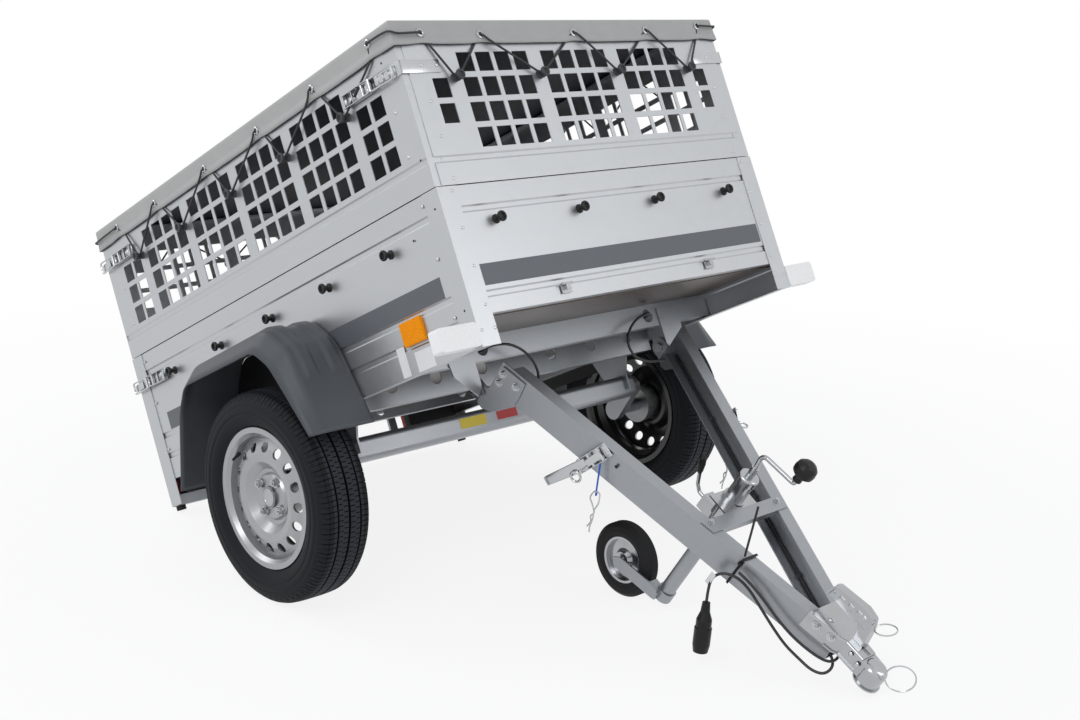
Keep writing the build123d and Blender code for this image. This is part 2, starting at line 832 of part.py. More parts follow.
beam_low = beam_top - beam_height
with BuildPart() as beam:
    beam_strip(beam_rear, beam_front, beam_wall, beam_low, beam_top)
    beam_strip(beam_flange_rear, beam_front, beam_flange, beam_low, beam_low + beam_wall)
    beam_strip(beam_flange_rear, beam_front, beam_flange, beam_top - beam_wall, beam_top)
    cut_z = (beam_low - 1, beam_top + 1)
    block((beam_rear, beam_front + 1), (-beam_flange, beam_split), cut_z, Mode.SUBTRACT)
keep_pair("beam", beam, DRAWBAR)

# Hinge arms on the beams' outer faces
arm_profile = (  # x and z of the corners, from the upper front round to the lower rear
    (104, 107),
    (107, 65),
    (106, 31),
    (60, -28),
    (40, -36),
    (10, -hinge_arm_radius),
)
with BuildPart() as hinge_arm:
    with BuildSketch(Plane.XY.offset(-60)):
        with BuildLine():
            knee = (beam_hinge_y - arm_outer_y + arm_plate) / beam_slope + 2
            Polyline(
                (-hinge_arm_radius - 1, arm_outer_y - arm_plate),
                (knee, arm_outer_y - arm_plate),
                (arm_profile[1][0] + 1, beam_line(arm_profile[1][0] + 1) + arm_gap),
                (arm_profile[1][0] + 1, beam_line(arm_profile[1][0] + 1) + arm_gap + arm_plate),
                (knee + 2, arm_outer_y),
                (-hinge_arm_radius - 1, arm_outer_y),
                close=True,
            )
        make_face()
    extrude(amount=200)
    with BuildSketch(Plane(origin=(0, 0, 0), x_dir=(1, 0, 0), z_dir=(0, -1, 0))):
        with BuildLine():
            Polyline(*arm_profile, (0, -hinge_arm_radius))
            RadiusArc((0, -hinge_arm_radius), (-hinge_arm_radius, 0), hinge_arm_radius)
            RadiusArc((-hinge_arm_radius, 0), (0, hinge_arm_radius), hinge_arm_radius)
            Polyline((0, hinge_arm_radius), (30, hinge_arm_radius), (36, 47), (36, 107), arm_profile[0])
        make_face()
    extrude(amount=-beam_hinge_y - 30, mode=Mode.INTERSECT)
    rod((0, 0, 0), (0, half_width, 0), hinge_pin_radius + 0.05, Mode.SUBTRACT)
keep_both("hinge_arms", hinge_arm, DRAWBAR)

# Cross channel that carries the jockey clamp
cross_rear = cross_channel_front - cross_channel_width
cross_half = beam_line(cross_channel_front) - beam_flange - 1
cross_low = beam_top + 0.3
cross_overlap = 4
with BuildPart() as cross_channel:
    with BuildSketch(Plane.XY.offset(cross_low)):
        with BuildLine():
            Polyline(
                (cross_rear, beam_line(cross_rear) - cross_overlap),
                (cross_channel_front, beam_line(cross_channel_front) - cross_overlap),
                (cross_channel_front, -beam_line(cross_channel_front) + cross_overlap),
                (cross_rear, -beam_line(cross_rear) + cross_overlap),
                close=True,
            )
        make_face()
    extrude(amount=3)
    web_z = (beam_top - cross_channel_depth, cross_low + 1)
    block((cross_rear, cross_rear + 3), (-cross_half, cross_half), web_z)
    block(
        (cross_channel_front - 3, cross_channel_front),
        (-cross_half, cross_half),
        (beam_top - cross_channel_lip, cross_low + 1),
    )
keep("cross_channel", cross_channel, DRAWBAR)

# Coupling: pressed shell over the beam ends, with a ball socket that opens below
def coupling_plan(z, outward, x_rear):
    """The shell's plan, from an open rear end along both beams to the neck."""
    with BuildSketch(Plane.XY.offset(z)) as plan:
        with BuildLine():
            half = [
                (x_rear, beam_line(x_rear) + 0.5 + outward),
                (beam_front + 2, beam_line(beam_front) + 0.5 + outward),
                (neck_start, coupling_neck - coupling_wall + outward + 3),
                (neck_end, coupling_neck - coupling_wall + outward),
            ]
            Polyline(*half, *[(x, -y) for x, y in reversed(half)], close=True)
        make_face()
    return plan.sketch


with BuildPart() as coupling_head:
    extrude(coupling_plan(coupling_low, coupling_wall, plate_rear), amount=coupling_top - coupling_low)
    top_edges = coupling_head.edges().filter_by_position(Axis.Z, coupling_top - 0.01, coupling_top + 0.01)
    fillet(top_edges.filter_by(Axis.Y, reverse=True), coupling_bend)
    extrude(coupling_plan(coupling_low, coupling_wall + lip_proud, neck_start - 34), amount=lip_height)
    with BuildSketch(Plane(origin=(ball_x, 0, 0), x_dir=(1, 0, 0), z_dir=(0, -1, 0))):
        with BuildLine():
            nose_shoulder = (coupling_nose - nose_bend, coupling_top)
            nose_side = (coupling_nose, coupling_top - nose_bend)
            Polyline((0, nose_low), (0, coupling_top), nose_shoulder)
            RadiusArc(nose_shoulder, nose_side, nose_bend)
            Polyline(
                nose_side,
                (coupling_nose, nose_low + lip_height),
                (coupling_nose + lip_proud, nose_low + lip_height),
                (coupling_nose + lip_proud, nose_low),
                (0, nose_low),
            )
        make_face()
    revolve(axis=Axis((ball_x, 0, 0), (0, 0, 1)))
    neck_z = (nose_low + 8, coupling_top - coupling_bend)
    block((neck_end - 10, ball_x), (-coupling_neck, coupling_neck), neck_z)
    hollow = coupling_plan(coupling_low - 1, 0, plate_rear - 1)
    extrude(hollow, amount=beam_top + 1.5 - coupling_low, mode=Mode.SUBTRACT)
    rod((ball_x, 0, nose_low - 1), (ball_x, 0, ball_z), ball_radius, Mode.SUBTRACT)
    with Locations((ball_x, 0, ball_z)):
        Sphere(ball_radius, mode=Mode.SUBTRACT)
    block(slot_x, (-slot_half, slot_half), (beam_top - 5, coupling_top + 1), Mode.SUBTRACT)
keep("coupling_head", coupling_head, DRAWBAR)

# Coupling lever: a bent strip round a thinner plate with holes
lever_foot = coupling_top + 0.5
lever_back = ((1056, lever_foot), (1052, 141), (1047, 172), (1034, 201), (1004, 206), (916, 187), (910, 152))
lever_front = ((920, 151), (979, 153), (1010, 156), (1020, 148), (1024, lever_foot))
with BuildPart() as coupling_lever:
    with BuildSketch(Plane(origin=(0, lever_plate_half, 0), x_dir=(1, 0, 0), z_dir=(0, -1, 0))):
        with BuildLine():
            Polyline(*lever_back, *lever_front, close=True)
        make_face()
        with Locations([(x, z) for x, z in lever_windows]):
            Rectangle(*lever_window, mode=Mode.SUBTRACT)
        for x, z, radius in lever_holes:
            with Locations((x, z)):
                Circle(radius, mode=Mode.SUBTRACT)
    extrude(amount=2 * lever_plate_half)
    with BuildSketch(Plane(origin=(0, lever_half, 0), x_dir=(1, 0, 0), z_dir=(0, -1, 0))):
        with BuildLine():
            FilletPolyline(*lever_back, radius=9)
            offset(amount=lever_rim, side=Side.LEFT)
        make_face()
    extrude(amount=2 * lever_half)
keep("coupling_lever", coupling_lever, DRAWBAR)

# Jockey wheel: clamp, outer tube, crank, sliding leg, swivelling arm, wheel
clamp_radius = jockey_outer_radius + 5
with BuildPart() as jockey_clamp:
    block((jockey_x - 30, cross_rear - 0.5), (-clamp_half, clamp_half), (beam_top - 3, beam_top + 1))
    rod((jockey_x, 0, beam_top - 60), (jockey_x, 0, beam_top + 10), clamp_radius)
    block((jockey_x - 62, jockey_x - 16), (-17, 17), (beam_top - 88, beam_top - 46))
    rod((jockey_x, 0, 0), (jockey_x, 0, beam_top + 40), jockey_outer_radius + 0.2, Mode.SUBTRACT)
    with BuildLine():
        FilletPolyline(
            (jockey_x - 50, 0, beam_top - 66),
            (jockey_x - 84, 0, beam_top - 66),
            (jockey_x - 100, 0, beam_top - 52),
            (grip_base[0] + 1, 0, grip_base[1] - 1),
            radius=8,
        )
    with BuildSketch(Plane(origin=(jockey_x - 50, 0, beam_top - 66), z_dir=(-1, 0, 0))):
        Circle(5)
    sweep()
keep("jockey_clamp", jockey_clamp, DRAWBAR)


def turned(base, way, profile):
    """A solid turned about an axis in the middle plane; the profile starts and ends on the axis."""
    axis_way = Vector(way[0], 0, way[1]).normalized()
    across = (axis_way.Z, 0, -axis_way.X)
    with BuildSketch(Plane(origin=(base[0], 0, base[1]), x_dir=across, z_dir=(0, -1, 0))) as section:
        with BuildLine():
            Polyline((0, profile[0][1]), *profile, (0, profile[-1][1]), close=True)
        make_face()
    revolve(section.sketch, axis=Axis((base[0], 0, base[1]), axis_way))


with BuildPart() as jockey_grips:
    turned(knob_base, knob_way, knob_profile)
    turned(grip_base, grip_way, grip_profile)
keep("jockey_grips", jockey_grips, DRAWBAR)

with BuildPart() as jockey_outer_tube:
    rod((jockey_x, 0, jockey_outer_bottom), (jockey_x, 0, jockey_outer_top), jockey_outer_radius)
    rod((jockey_x, 0, jockey_outer_top - 20), (jockey_x, 0, jockey_outer_top + 2), jockey_cap_radius)
    fillet(jockey_outer_tube.edges().filter_by(GeomType.CIRCLE).sort_by(Axis.Z)[-1], 6)
    rod(
        (jockey_x, 0, jockey_outer_bottom - 1),
        (jockey_x, 0, jockey_outer_top - 4),
        jockey_inner_radius + jockey_slide_gap,
        Mode.SUBTRACT,
    )
keep("jockey_outer_tube", jockey_outer_tube, DRAWBAR)

with BuildPart() as jockey_crank:
    rod((jockey_x, 0, jockey_outer_top + 2.2), (jockey_x, 0, jockey_outer_top + 30), 10)
    with BuildLine():
        FilletPolyline(
            (jockey_x, 0, jockey_outer_top + 28),
            (jockey_x - 4, 0, jockey_outer_top + 72),
            (knob_base[0] - 0.9, 0, knob_base[1] - 13),
            (knob_base[0], 0, knob_base[1] - 0.3),
            radius=(16, 6),
        )
    with BuildSketch(Plane(origin=(jockey_x, 0, jockey_outer_top + 28), z_dir=(-4, 0, 44))):
        Circle(crank_radius)
    sweep()
keep("jockey_crank", jockey_crank, DRAWBAR)

with BuildPart() as jockey_leg:
    rod((jockey_x, 0, jockey_foot_z), (jockey_x, 0, jockey_leg_top), jockey_inner_radius)
    bore = ((jockey_x, 0, jockey_foot_z + 30), (jockey_x, 0, jockey_leg_top + 1))
    rod(*bore, jockey_inner_radius - 3, Mode.SUBTRACT)
keep("jockey_leg", jockey_leg, DRAWBAR)

jockey_hub_x = jockey_x - jockey_hub_back
arm_low = jockey_foot_z - 1
with BuildPart() as jockey_fork:
    rod((jockey_x, 0, arm_low), (jockey_x, 0, arm_low - 30), jockey_inner_radius + 4)
    fork_y = -jockey_wheel_width / 2 - 10
    with BuildSketch(Plane(origin=(0, fork_y, 0), x_dir=(1, 0, 0), z_dir=(0, -1, 0))):
        with BuildLine():
            Polyline(
                (jockey_x - 6, arm_low - 30),
                (jockey_x - 6, arm_low),
                (jockey_x - 40, arm_low - 2),
                (jockey_hub_x, jockey_hub_z + 18),
                (jockey_hub_x - 18, jockey_hub_z),
                (jockey_hub_x, jockey_hub_z - 18),
                (jockey_x - 40, arm_low - 38),
                close=True,
            )
        make_face()
    extrude(amount=5)
    block((jockey_x - 40, jockey_x), (fork_y - 5, fork_y + 30), (arm_low - 28, arm_low - 4))
    rod((jockey_hub_x, fork_y, jockey_hub_z), (jockey_hub_x, jockey_wheel_width / 2, jockey_hub_z), 9)
keep("jockey_fork", jockey_fork, DRAWBAR)

with BuildPart() as jockey_tyre:
    with BuildSketch(Plane(origin=(jockey_hub_x, 0, jockey_hub_z), x_dir=(1, 0, 0), z_dir=(0, 0, 1))):
        with BuildLine():
            Polyline(
                (jockey_rim_radius, -jockey_wheel_width / 2 + 4),
                (jockey_rim_radius + 14, -jockey_wheel_width / 2),
                (jockey_wheel_radius - 10, -jockey_wheel_width / 2 + 2),
                (jockey_wheel_radius, -jockey_wheel_width / 2 + 12),
                (jockey_wheel_radius, jockey_wheel_width / 2 - 12),
                (jockey_wheel_radius - 10, jockey_wheel_width / 2 - 2),
                (jockey_rim_radius + 14, jockey_wheel_width / 2),
                (jockey_rim_radius, jockey_wheel_width / 2 - 4),
                close=True,
            )
        make_face()
    revolve(axis=Axis((jockey_hub_x, 0, jockey_hub_z), (0, 1, 0)))
keep("jockey_tyre", jockey_tyre, DRAWBAR)

with BuildPart() as jockey_rim:
    with BuildSketch(Plane(origin=(jockey_hub_x, 0, jockey_hub_z), x_dir=(1, 0, 0), z_dir=(0, 0, 1))):
        with BuildLine():
            Polyline(
                (9.05, -jockey_wheel_width / 2 + 2),
                (22, -jockey_wheel_width / 2 + 2),
                (30, -8),
                (jockey_rim_radius - 6, -6),
                (jockey_rim_radius - 6, -jockey_wheel_width / 2 + 5),
                (jockey_rim_radius, -jockey_wheel_width / 2 + 4),
                (jockey_rim_radius, jockey_wheel_width / 2 - 4),
                (jockey_rim_radius - 6, jockey_wheel_width / 2 - 5),
                (jockey_rim_radius - 6, 6),
                (30, 8),
                (22, jockey_wheel_width / 2 - 2),
                (9.05, jockey_wheel_width / 2 - 2),
                close=True,
            )
        make_face()
    revolve(axis=Axis((jockey_hub_x, 0, jockey_hub_z), (0, 1, 0)))
keep("jockey_rim", jockey_rim, DRAWBAR)

# Tilt locks on the beams' outer faces
with BuildPart() as tilt_lock:
    lock_y = beam_line(tilt_lock_x)
    block((tilt_lock_x - 14, tilt_lock_x + 10), (lock_y - 2, lock_y + 26), (50, 100))
    rod((tilt_lock_x - 4, lock_y + 14, 76), (tilt_lock_x - 95, lock_y + 14, -70), 8)
    with BuildSketch(Plane.XZ.offset(-lock_y - 10)):
        with Locations((tilt_lock_x - 44, -10)):
            Circle(20)
            Circle(12, mode=Mode.SUBTRACT)
    extrude(amount=-8)
    beam_cut = (tilt_lock_x - 200, tilt_lock_x + 100)
    with BuildSketch(Plane.XY.offset(-200)):
        with BuildLine():
            Polyline(
                (beam_cut[0], beam_line(beam_cut[0]) + 0.3),
                (beam_cut[1], beam_line(beam_cut[1]) + 0.3),
                (beam_cut[1], 0),
                (beam_cut[0], 0),
                close=True,
            )
        make_face()
    extrude(amount=400, mode=Mode.SUBTRACT)
keep_both("tilt_locks", tilt_lock, DRAWBAR)


# Cords: straight runs joined by the largest arcs that fit
def cord(name, points, diameter, frame):
    """A round cord along a route, with its radii and its length printed."""
    runs = [Vector(*end) - Vector(*start) for start, end in zip(points, points[1:])]
    radii = []
    for before, after in zip(runs, runs[1:]):
        turn = radians(before.get_angle(after))
        radii.append(0.45 * min(before.length, after.length) / tan(turn / 2))
    with BuildPart() as tube:
        with BuildLine() as path:
            FilletPolyline(*points, radius=radii)
        with BuildSketch(Plane(origin=points[0], z_dir=runs[0])):
            Circle(diameter / 2)
        sweep()
    print(name, "radii", [round(radius) for radius in radii], "length", round(path.wires()[0].length))
    keep(name, tube, frame)


plug_cord_route = (
    (1004, -24, 56),
    (1026, -26, 52),
    (1042, -39, 42),
    (1040, -58, 26),
    (1014, -67, 14),
    (979, -69, 10),
    (934, -78, 11),
    (886, -92, 29),
    (837, -107, 52),
    (794, -120, 72),
    (758, -136, 79),
    (732, -152, 68),
    (722, -162, 44),
    (732, -166, 16),
    (750, -168, -14),
)
slack_cord_route = (
    (1004, -12, 78),
    (1021, -13, 75),
    (1033, -24, 65),
    (1032, -44, 56),
    (1012, -58, 50),
    (972, -70, 46),
    (931, -82, 48),
    (887, -95, 58),
    (836, -110, 76),
    (790, -124, 89),
    (756, -132, 90),
)
far_loop_route = (
    (-314, 309, -342),
    (-290, 304, -338),
    (-270, 284, -338),
    (-260, 250, -343),
    (-256, 210, -352),
    (-256, 172, -378),
    (-257, 154, -414),
    (-256, 164, -448),
    (-250, 194, -468),
    (-243, 228, -475),
    (-237, 256, -476),
)
near_loop_route = (
    (-314, -309, -346),
    (-290, -303, -343),
    (-272, -280, -342),
    (-262, -246, -350),
    (-259, -210, -374),
    (-257, -190, -410),
    (-255, -190, -444),
    (-250, -210, -466),
    (-243, -236, -474),
    (-237, -257, -476),
)
cord("plug_cord", plug_cord_route, cord_diameter, DRAWBAR)
cord("slack_cord", slack_cord_route, cord_diameter, DRAWBAR)
cord("far_loop", far_loop_route, loop_diameter, BED)
cord("near_loop", near_loop_route, loop_diameter, BED)

plug_start = Vector(*plug_cord_route[-1])
plug_way = (plug_start - Vector(*plug_cord_route[-2])).normalized()
across_plug = Plane(origin=plug_start, z_dir=plug_way)
with BuildPart() as plug:
    with BuildSketch(Plane(origin=plug_start, x_dir=across_plug.x_dir, z_dir=-across_plug.y_dir)):
        with BuildLine():
            Polyline(
                (0, 0.3),
                (plug_radius * 0.45, 0.3),
                (plug_radius * 0.55, 24),
                (plug_radius * 0.9, 44),
                (plug_radius * 0.9, 62),
                (plug_radius, 64),
                (plug_radius, plug_length - 18),
                (plug_radius * 0.85, plug_length),
                (0, plug_length),
                close=True,
            )
        make_face()
    revolve(axis=Axis(plug_start, plug_way))
keep("plug", plug, DRAWBAR)

# Cable tie round the cords and the near beam, with its free tail
tie_x = 744
tie_y = -beam_line(tie_x)
tail_start = (738, tie_y + 4, beam_top + 4)
tail_end = (671, -62, 206)
tail_axis = Vector(tail_end) - Vector(tail_start)
with BuildPart() as cable_tie:
    block((tie_x - 3, tie_x + 3), (tie_y - 5, tie_y - 3), (beam_low - 2, beam_top + 4.5))
    block((tie_x - 3, tie_x + 3), (tie_y - 5, tie_y + beam_flange + 6), (beam_top + 3, beam_top + 4.5))
    block((tie_x - 6, tie_x + 5), (tie_y - 9, tie_y - 3), (beam_top - 16, beam_top - 8))
    with Locations(Plane(origin=tail_start, z_dir=tail_axis).location):
        Box(2.5, 6, tail_axis.length, align=(Align.CENTER, Align.CENTER, Align.MIN))
keep("cable_tie", cable_tie, DRAWBAR)

# Lead along the inside of the left beam, with its clips
lead_inset = beam_wall + cord_diameter / 2 + 0.5
lead_z = beam_low + beam_wall + cord_diameter / 2 + 0.5
lead_x = (70, 985)
lead_clips = (300, 560, 800)
with BuildPart() as beam_lead:
    rod(*[(x, beam_line(x) - lead_inset, lead_z) for x in lead_x], cord_diameter / 2)
    for x in lead_clips:
        clip_y = beam_line(x) - lead_inset
        block((x - 5, x + 5), (clip_y - 5.5, clip_y + 1.5), (lead_z - cord_diameter / 2, lead_z + 5.5))
keep("beam_lead", beam_lead, DRAWBAR)

os.makedirs("parts", exist_ok=True)
for name, piece in pieces.items():
    export_step(piece, "parts/" + name + ".step")
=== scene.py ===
"""Dresses a small tipping trailer: finishes, cover, cords, tyres, fittings and a plain studio.

Metres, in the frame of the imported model: +X towards the coupling, +Y to the trailer's left, ground at z = 0.
Pieces are shaped in the bed's own axes (x = 0 at the front wall, z = 0 at the seam between the lower and the
mesh walls) or in the drawbar's (origin on the tilt hinge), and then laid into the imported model's frame.
"""
import json
from math import atan2, cos, exp, radians, sin, tau

import bmesh
import bpy
from bpy.props import FloatProperty, FloatVectorProperty, IntProperty, PointerProperty
from mathutils import Euler, Matrix, Vector


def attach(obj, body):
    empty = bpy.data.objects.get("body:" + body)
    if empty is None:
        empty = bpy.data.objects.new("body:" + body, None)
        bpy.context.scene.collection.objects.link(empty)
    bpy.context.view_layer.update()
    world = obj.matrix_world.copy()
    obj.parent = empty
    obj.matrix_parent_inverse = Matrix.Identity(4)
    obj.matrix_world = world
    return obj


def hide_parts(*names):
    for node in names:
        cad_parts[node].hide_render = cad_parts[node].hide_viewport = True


bl_info = {
    "name": "Tipping trailer dressing",
    "version": (1, 0, 0),
    "blender": (4, 5, 0),
    "location": "View3D > Sidebar > Trailer",
    "description": "Finishes, cover, cords, tyres and fittings of a small tipping trailer",
    "category": "Object",
}

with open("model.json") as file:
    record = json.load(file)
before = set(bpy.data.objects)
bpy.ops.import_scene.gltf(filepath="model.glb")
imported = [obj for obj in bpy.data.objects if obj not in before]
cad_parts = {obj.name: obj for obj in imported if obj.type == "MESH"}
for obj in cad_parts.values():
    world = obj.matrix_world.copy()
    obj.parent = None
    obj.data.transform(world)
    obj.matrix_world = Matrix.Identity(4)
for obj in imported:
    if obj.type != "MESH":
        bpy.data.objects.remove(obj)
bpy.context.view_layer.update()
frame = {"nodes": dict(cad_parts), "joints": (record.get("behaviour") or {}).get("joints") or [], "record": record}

# The trailer's two leaning frames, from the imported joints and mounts
HINGE_IN_BED = Vector((-0.320, 0, -0.432))
JOINTS = {joint["name"]: joint for joint in frame["joints"]}
MOUNTS = {mount["name"]: mount for mount in frame["record"]["mounts"]}
FLOOR_UP = Vector(MOUNTS["load_floor"]["axis"])
LEG_UP = Vector(JOINTS["jockey_slide"]["axis"])
HINGE = Vector(JOINTS["drawbar_tilt"]["pos_m"])


def leaning(up):
    """Matrix of axes whose z axis is up, turned about Y only."""
    return Matrix.Rotation(atan2(up.x, up.z), 4, "Y")


BED = Matrix.Translation(HINGE) @ leaning(FLOOR_UP) @ Matrix.Translation(-HINGE_IN_BED)
BED_TURN = -atan2(FLOOR_UP.x, FLOOR_UP.z)
DRAWBAR = Matrix.Translation(HINGE) @ leaning(LEG_UP)

# Sizes and places shared by several pieces, in the bed's axes
BOX_LENGTH = 1.530
HALF_WIDTH = 0.568
COVER_TOP = 0.400
KNOB_MESH_Z = 0.257
MESH_KNOB_X = (-0.235, -0.508, -0.780, -1.053, -1.313)
END_KNOB_Y = (-0.4155, -0.1385, 0.1385, 0.4155)
LENS_FRONT = -1.513
WHEEL = Vector((-0.770, 0, -0.543))
WHEEL_Y = 0.6755
TREAD_HALF = 0.058
TREAD_TOP = 0.2722
TREAD_FLOOR = 0.2700

# The beams' spread in the drawbar's axes: how far they near the middle for each metre forwards
SPLAY = 0.305

SIDES = (("left", 1), ("right", -1))


def size_setting(name, description, default):
    """A length that a user may change."""
    return FloatProperty(name=name, description=description, default=default, unit="LENGTH")


def colour_setting(name, description, default):
    """A colour that a user may change."""
    return FloatVectorProperty(name=name, description=description, subtype="COLOR", size=3, default=default)


class TrailerSizes(bpy.types.PropertyGroup):
    """Sizes of the soft parts and fittings."""

    cord_diameter: size_setting("Cable diameter", "Outer diameter of the lighting cable", 0.007)
    elastic_diameter: size_setting("Elastic diameter", "Diameter of the cover's elastic cord", 0.0055)
    skirt_drop: size_setting("Skirt drop", "Height of the cover's skirt", 0.062)
    tread_pitches: IntProperty(
        name="Tread pitches", description="Repeats of the tread round a tyre", default=126, min=60, max=140
    )


class TrailerColours(bpy.types.PropertyGroup):
    """Colours of the main finishes."""

    sheet: colour_setting("Sheet", "Galvanised sheet", (0.50, 0.515, 0.535))
    frame_metal: colour_setting("Frame", "Hot dip galvanised frame", (0.335, 0.352, 0.376))
    rim: colour_setting("Rim", "Silver wheel paint", (0.36, 0.37, 0.38))
    cloth: colour_setting("Cover", "Coated cloth of the cover", (0.36, 0.36, 0.355))
    guard: colour_setting("Mudguard", "Moulded mudguards", (0.074, 0.081, 0.091))
    stripe: colour_setting("Stripe", "Dark band round the box", (0.10, 0.11, 0.125))
    reflector: colour_setting("Reflector", "Side reflectors", (0.86, 0.28, 0.002))


# Shader maths
class Value:
    """A number that varies over a surface; arithmetic on it adds Math nodes."""

    def __init__(self, nodes, socket):
        self.nodes = nodes
        self.socket = socket

    def __add__(self, other):
        return self.nodes.maths("ADD", self, other)

    def __sub__(self, other):
        return self.nodes.maths("SUBTRACT", self, other)

    def __rsub__(self, other):
        return self.nodes.maths("SUBTRACT", other, self)

    def __mul__(self, other):
        return self.nodes.maths("MULTIPLY", self, other)

    def __truediv__(self, other):
        return self.nodes.maths("DIVIDE", self, other)

    def __gt__(self, other):
        return self.nodes.maths("GREATER_THAN", self, other)

    def __lt__(self, other):
        return self.nodes.maths("LESS_THAN", self, other)

    def __abs__(self):
        return self.nodes.maths("ABSOLUTE", self)

    __radd__ = __add__
    __rmul__ = __mul__


class Nodes:
    """A node tree, with the methods that add and link its nodes."""

    def __init__(self, tree):
        self.tree = tree

    def join(self, socket, value):
        """Gives a socket a link or a constant."""
        if isinstance(value, Value):
            self.tree.links.new(value.socket, socket)
        else:
            socket.default_value = value

    def node(self, kind, settings=None, inputs=(), output=0):
        """Adds a node: its settings first, then the values or links of its sockets, by place or by name."""
        added = self.tree.nodes.new(kind)
        for setting, value in (settings or {}).items():
            if setting == "stops":
                for element, (position, grey) in zip(added.color_ramp.elements, value):
                    element.position = position
                    element.color = (grey, grey, grey, 1.0)
            else:
                setattr(added, setting, value)
        named = inputs.items() if isinstance(inputs, dict) else enumerate(inputs)
        for socket, value in named:
            self.join(added.inputs[socket], value)
        return Value(self, added.outputs[output])

    def maths(self, operation, *inputs, clamped=False):
        return self.node("ShaderNodeMath", {"operation": operation, "use_clamp": clamped}, inputs)

    def seen(self):
        """1 for the rays that show the backdrop, straight or in metal and glass."""
        camera, glossy, through = (
            self.node("ShaderNodeLightPath", output=ray)
            for ray in ("Is Camera Ray", "Is Glossy Ray", "Is Transmission Ray")
        )
        return self.maths("ADD", camera + glossy, through, clamped=True)


class Finish(Nodes):
    """A material in the making: one Principled shader and the nodes that feed it."""

    MIX_FACTOR, MIX_LOW, MIX_HIGH, MIX_COLOUR = 0, 6, 7, 2  # a Mix node's sockets for colours

    def __init__(self, name, colour, roughness, metallic=0.0, **constants):
        self.material = bpy.data.materials.new(name)
        self.material.use_nodes = True
        self.material.diffuse_color = (*colour, 1.0)
        super().__init__(self.material.node_tree)
        self.shader = self.tree.nodes["Principled BSDF"]
        self.colour = colour
        self.roughness = roughness
        self.set("Base Color", (*colour, 1.0))
        self.set("Roughness", roughness)
        self.set("Metallic", metallic)
        for socket, value in constants.items():
            self.set(socket.replace("_", " "), value)
        self.place = self.node("ShaderNodeTexCoord", output="Object")

    def set(self, socket, value):
        """Gives one of the shader's sockets a constant or a link."""
        self.join(self.shader.inputs[socket], value)

    def in_bed(self, stretch=(1, 1, 1)):
        """Object coordinates turned into the bed's axes and stretched."""
        inputs = {"Vector": self.place, "Rotation": (0, BED_TURN, 0), "Scale": stretch}
        return self.node("ShaderNodeMapping", None, inputs)

    def noise(self, scale, detail=2.0, roughness=0.5, source=None):
        inputs = {"Vector": source or self.place, "Scale": scale, "Detail": detail, "Roughness": roughness}
        return self.node("ShaderNodeTexNoise", None, inputs)

    def cells(self, scale, source=None, output="Distance"):
        inputs = {"Vector": source or self.place, "Scale": scale}
        return self.node("ShaderNodeTexVoronoi", None, inputs, output)

    def spangle(self, scale):
        """Cells that each have their own even value."""
        return self.parts(self.cells(scale, output="Color"))[0]

    def parts(self, source):
        """The three components of a vector."""
        split = self.node("ShaderNodeSeparateXYZ", None, [source])
        return [Value(self, output) for output in split.socket.node.outputs]

    def blend(self, factor, low, high):
        """A colour between two colours."""
        low, high = (end if isinstance(end, Value) else (*end, 1.0) for end in (low, high))
        inputs = {self.MIX_FACTOR: factor, self.MIX_LOW: low, self.MIX_HIGH: high}
        return self.node("ShaderNodeMix", {"data_type": "RGBA"}, inputs, self.MIX_COLOUR)

    def tones(self, pattern, low, high):
        """The finish's colour, made lighter or darker by a pattern between two factors."""
        return self.blend(pattern, shade(self.colour, low), shade(self.colour, high))

    def mottle(self, pattern, low, high, gloss, spread):
        """Lets the colour and the roughness follow a pattern."""
        self.set("Base Color", self.tones(pattern, low, high))
        self.set("Roughness", self.roughness + gloss + pattern * spread)

    def bump(self, height, strength, distance):
        inputs = {"Strength": strength, "Distance": distance, "Height": height}
        self.set("Normal", self.node("ShaderNodeBump", None, inputs))


def shade(colour, factor):
    """A colour made lighter or darker."""
    return tuple(min(1.0, part * factor) for part in colour)


def galvanised(name, colour, roughness, contrast, scale):
    """Zinc-coated steel: soft clouds, faint spangle, rolling lines along the sheet."""
    finish = Finish(name, colour, roughness, 0.85)
    clouds = finish.noise(scale, 3.0)
    spangle = finish.spangle(scale * 26)
    lines = finish.noise(7.0, source=finish.in_bed((0.6, 0.6, 38)))
    tone = clouds * 0.55 + spangle * 0.2 + lines * 0.25
    finish.set("Base Color", finish.tones(tone, 1 - contrast, 1 + contrast))
    finish.set("Roughness", roughness - 0.05 + clouds * 0.08 + spangle * 0.04)
    finish.bump(finish.noise(420) * 0.5 + lines * 0.5, 0.12, 0.0004)
    return finish.material


def bright_zinc(name, colour, roughness):
    """Bright electroplated fittings with faint blotches."""
    finish = Finish(name, colour, roughness, 1.0)
    finish.mottle(finish.noise(18), 0.90, 1.10, -0.03, 0.06)
    finish.bump(finish.noise(90), 0.02, 0.0003)
    return finish.material


def two_sided_paint(name, colour, back, roughness, disc_out=0.020, inward=-0.12):
    """Silver outside the wheel disc; dark primer up to disc_out past its middle and facing the axle."""
    finish = Finish(name, colour, roughness, 0.7, Coat_Weight=0.25, Coat_Roughness=0.2)
    side = finish.parts(finish.place)[1]
    normal = finish.parts(finish.node("ShaderNodeTexCoord", output="Normal"))[1]
    turned_in = (normal * finish.maths("SIGN", side)) < inward
    dark = finish.maths("ADD", turned_in, abs(side) < WHEEL_Y + disc_out, clamped=True)
    silver = finish.tones(finish.spangle(900) * 0.35 + finish.noise(9) * 0.5, 0.9, 1.08)
    finish.set("Base Color", finish.blend(dark, silver, back))
    finish.set("Metallic", 0.7 - dark * 0.7)
    finish.bump(finish.noise(160), 0.05, 0.0006)
    return finish.material


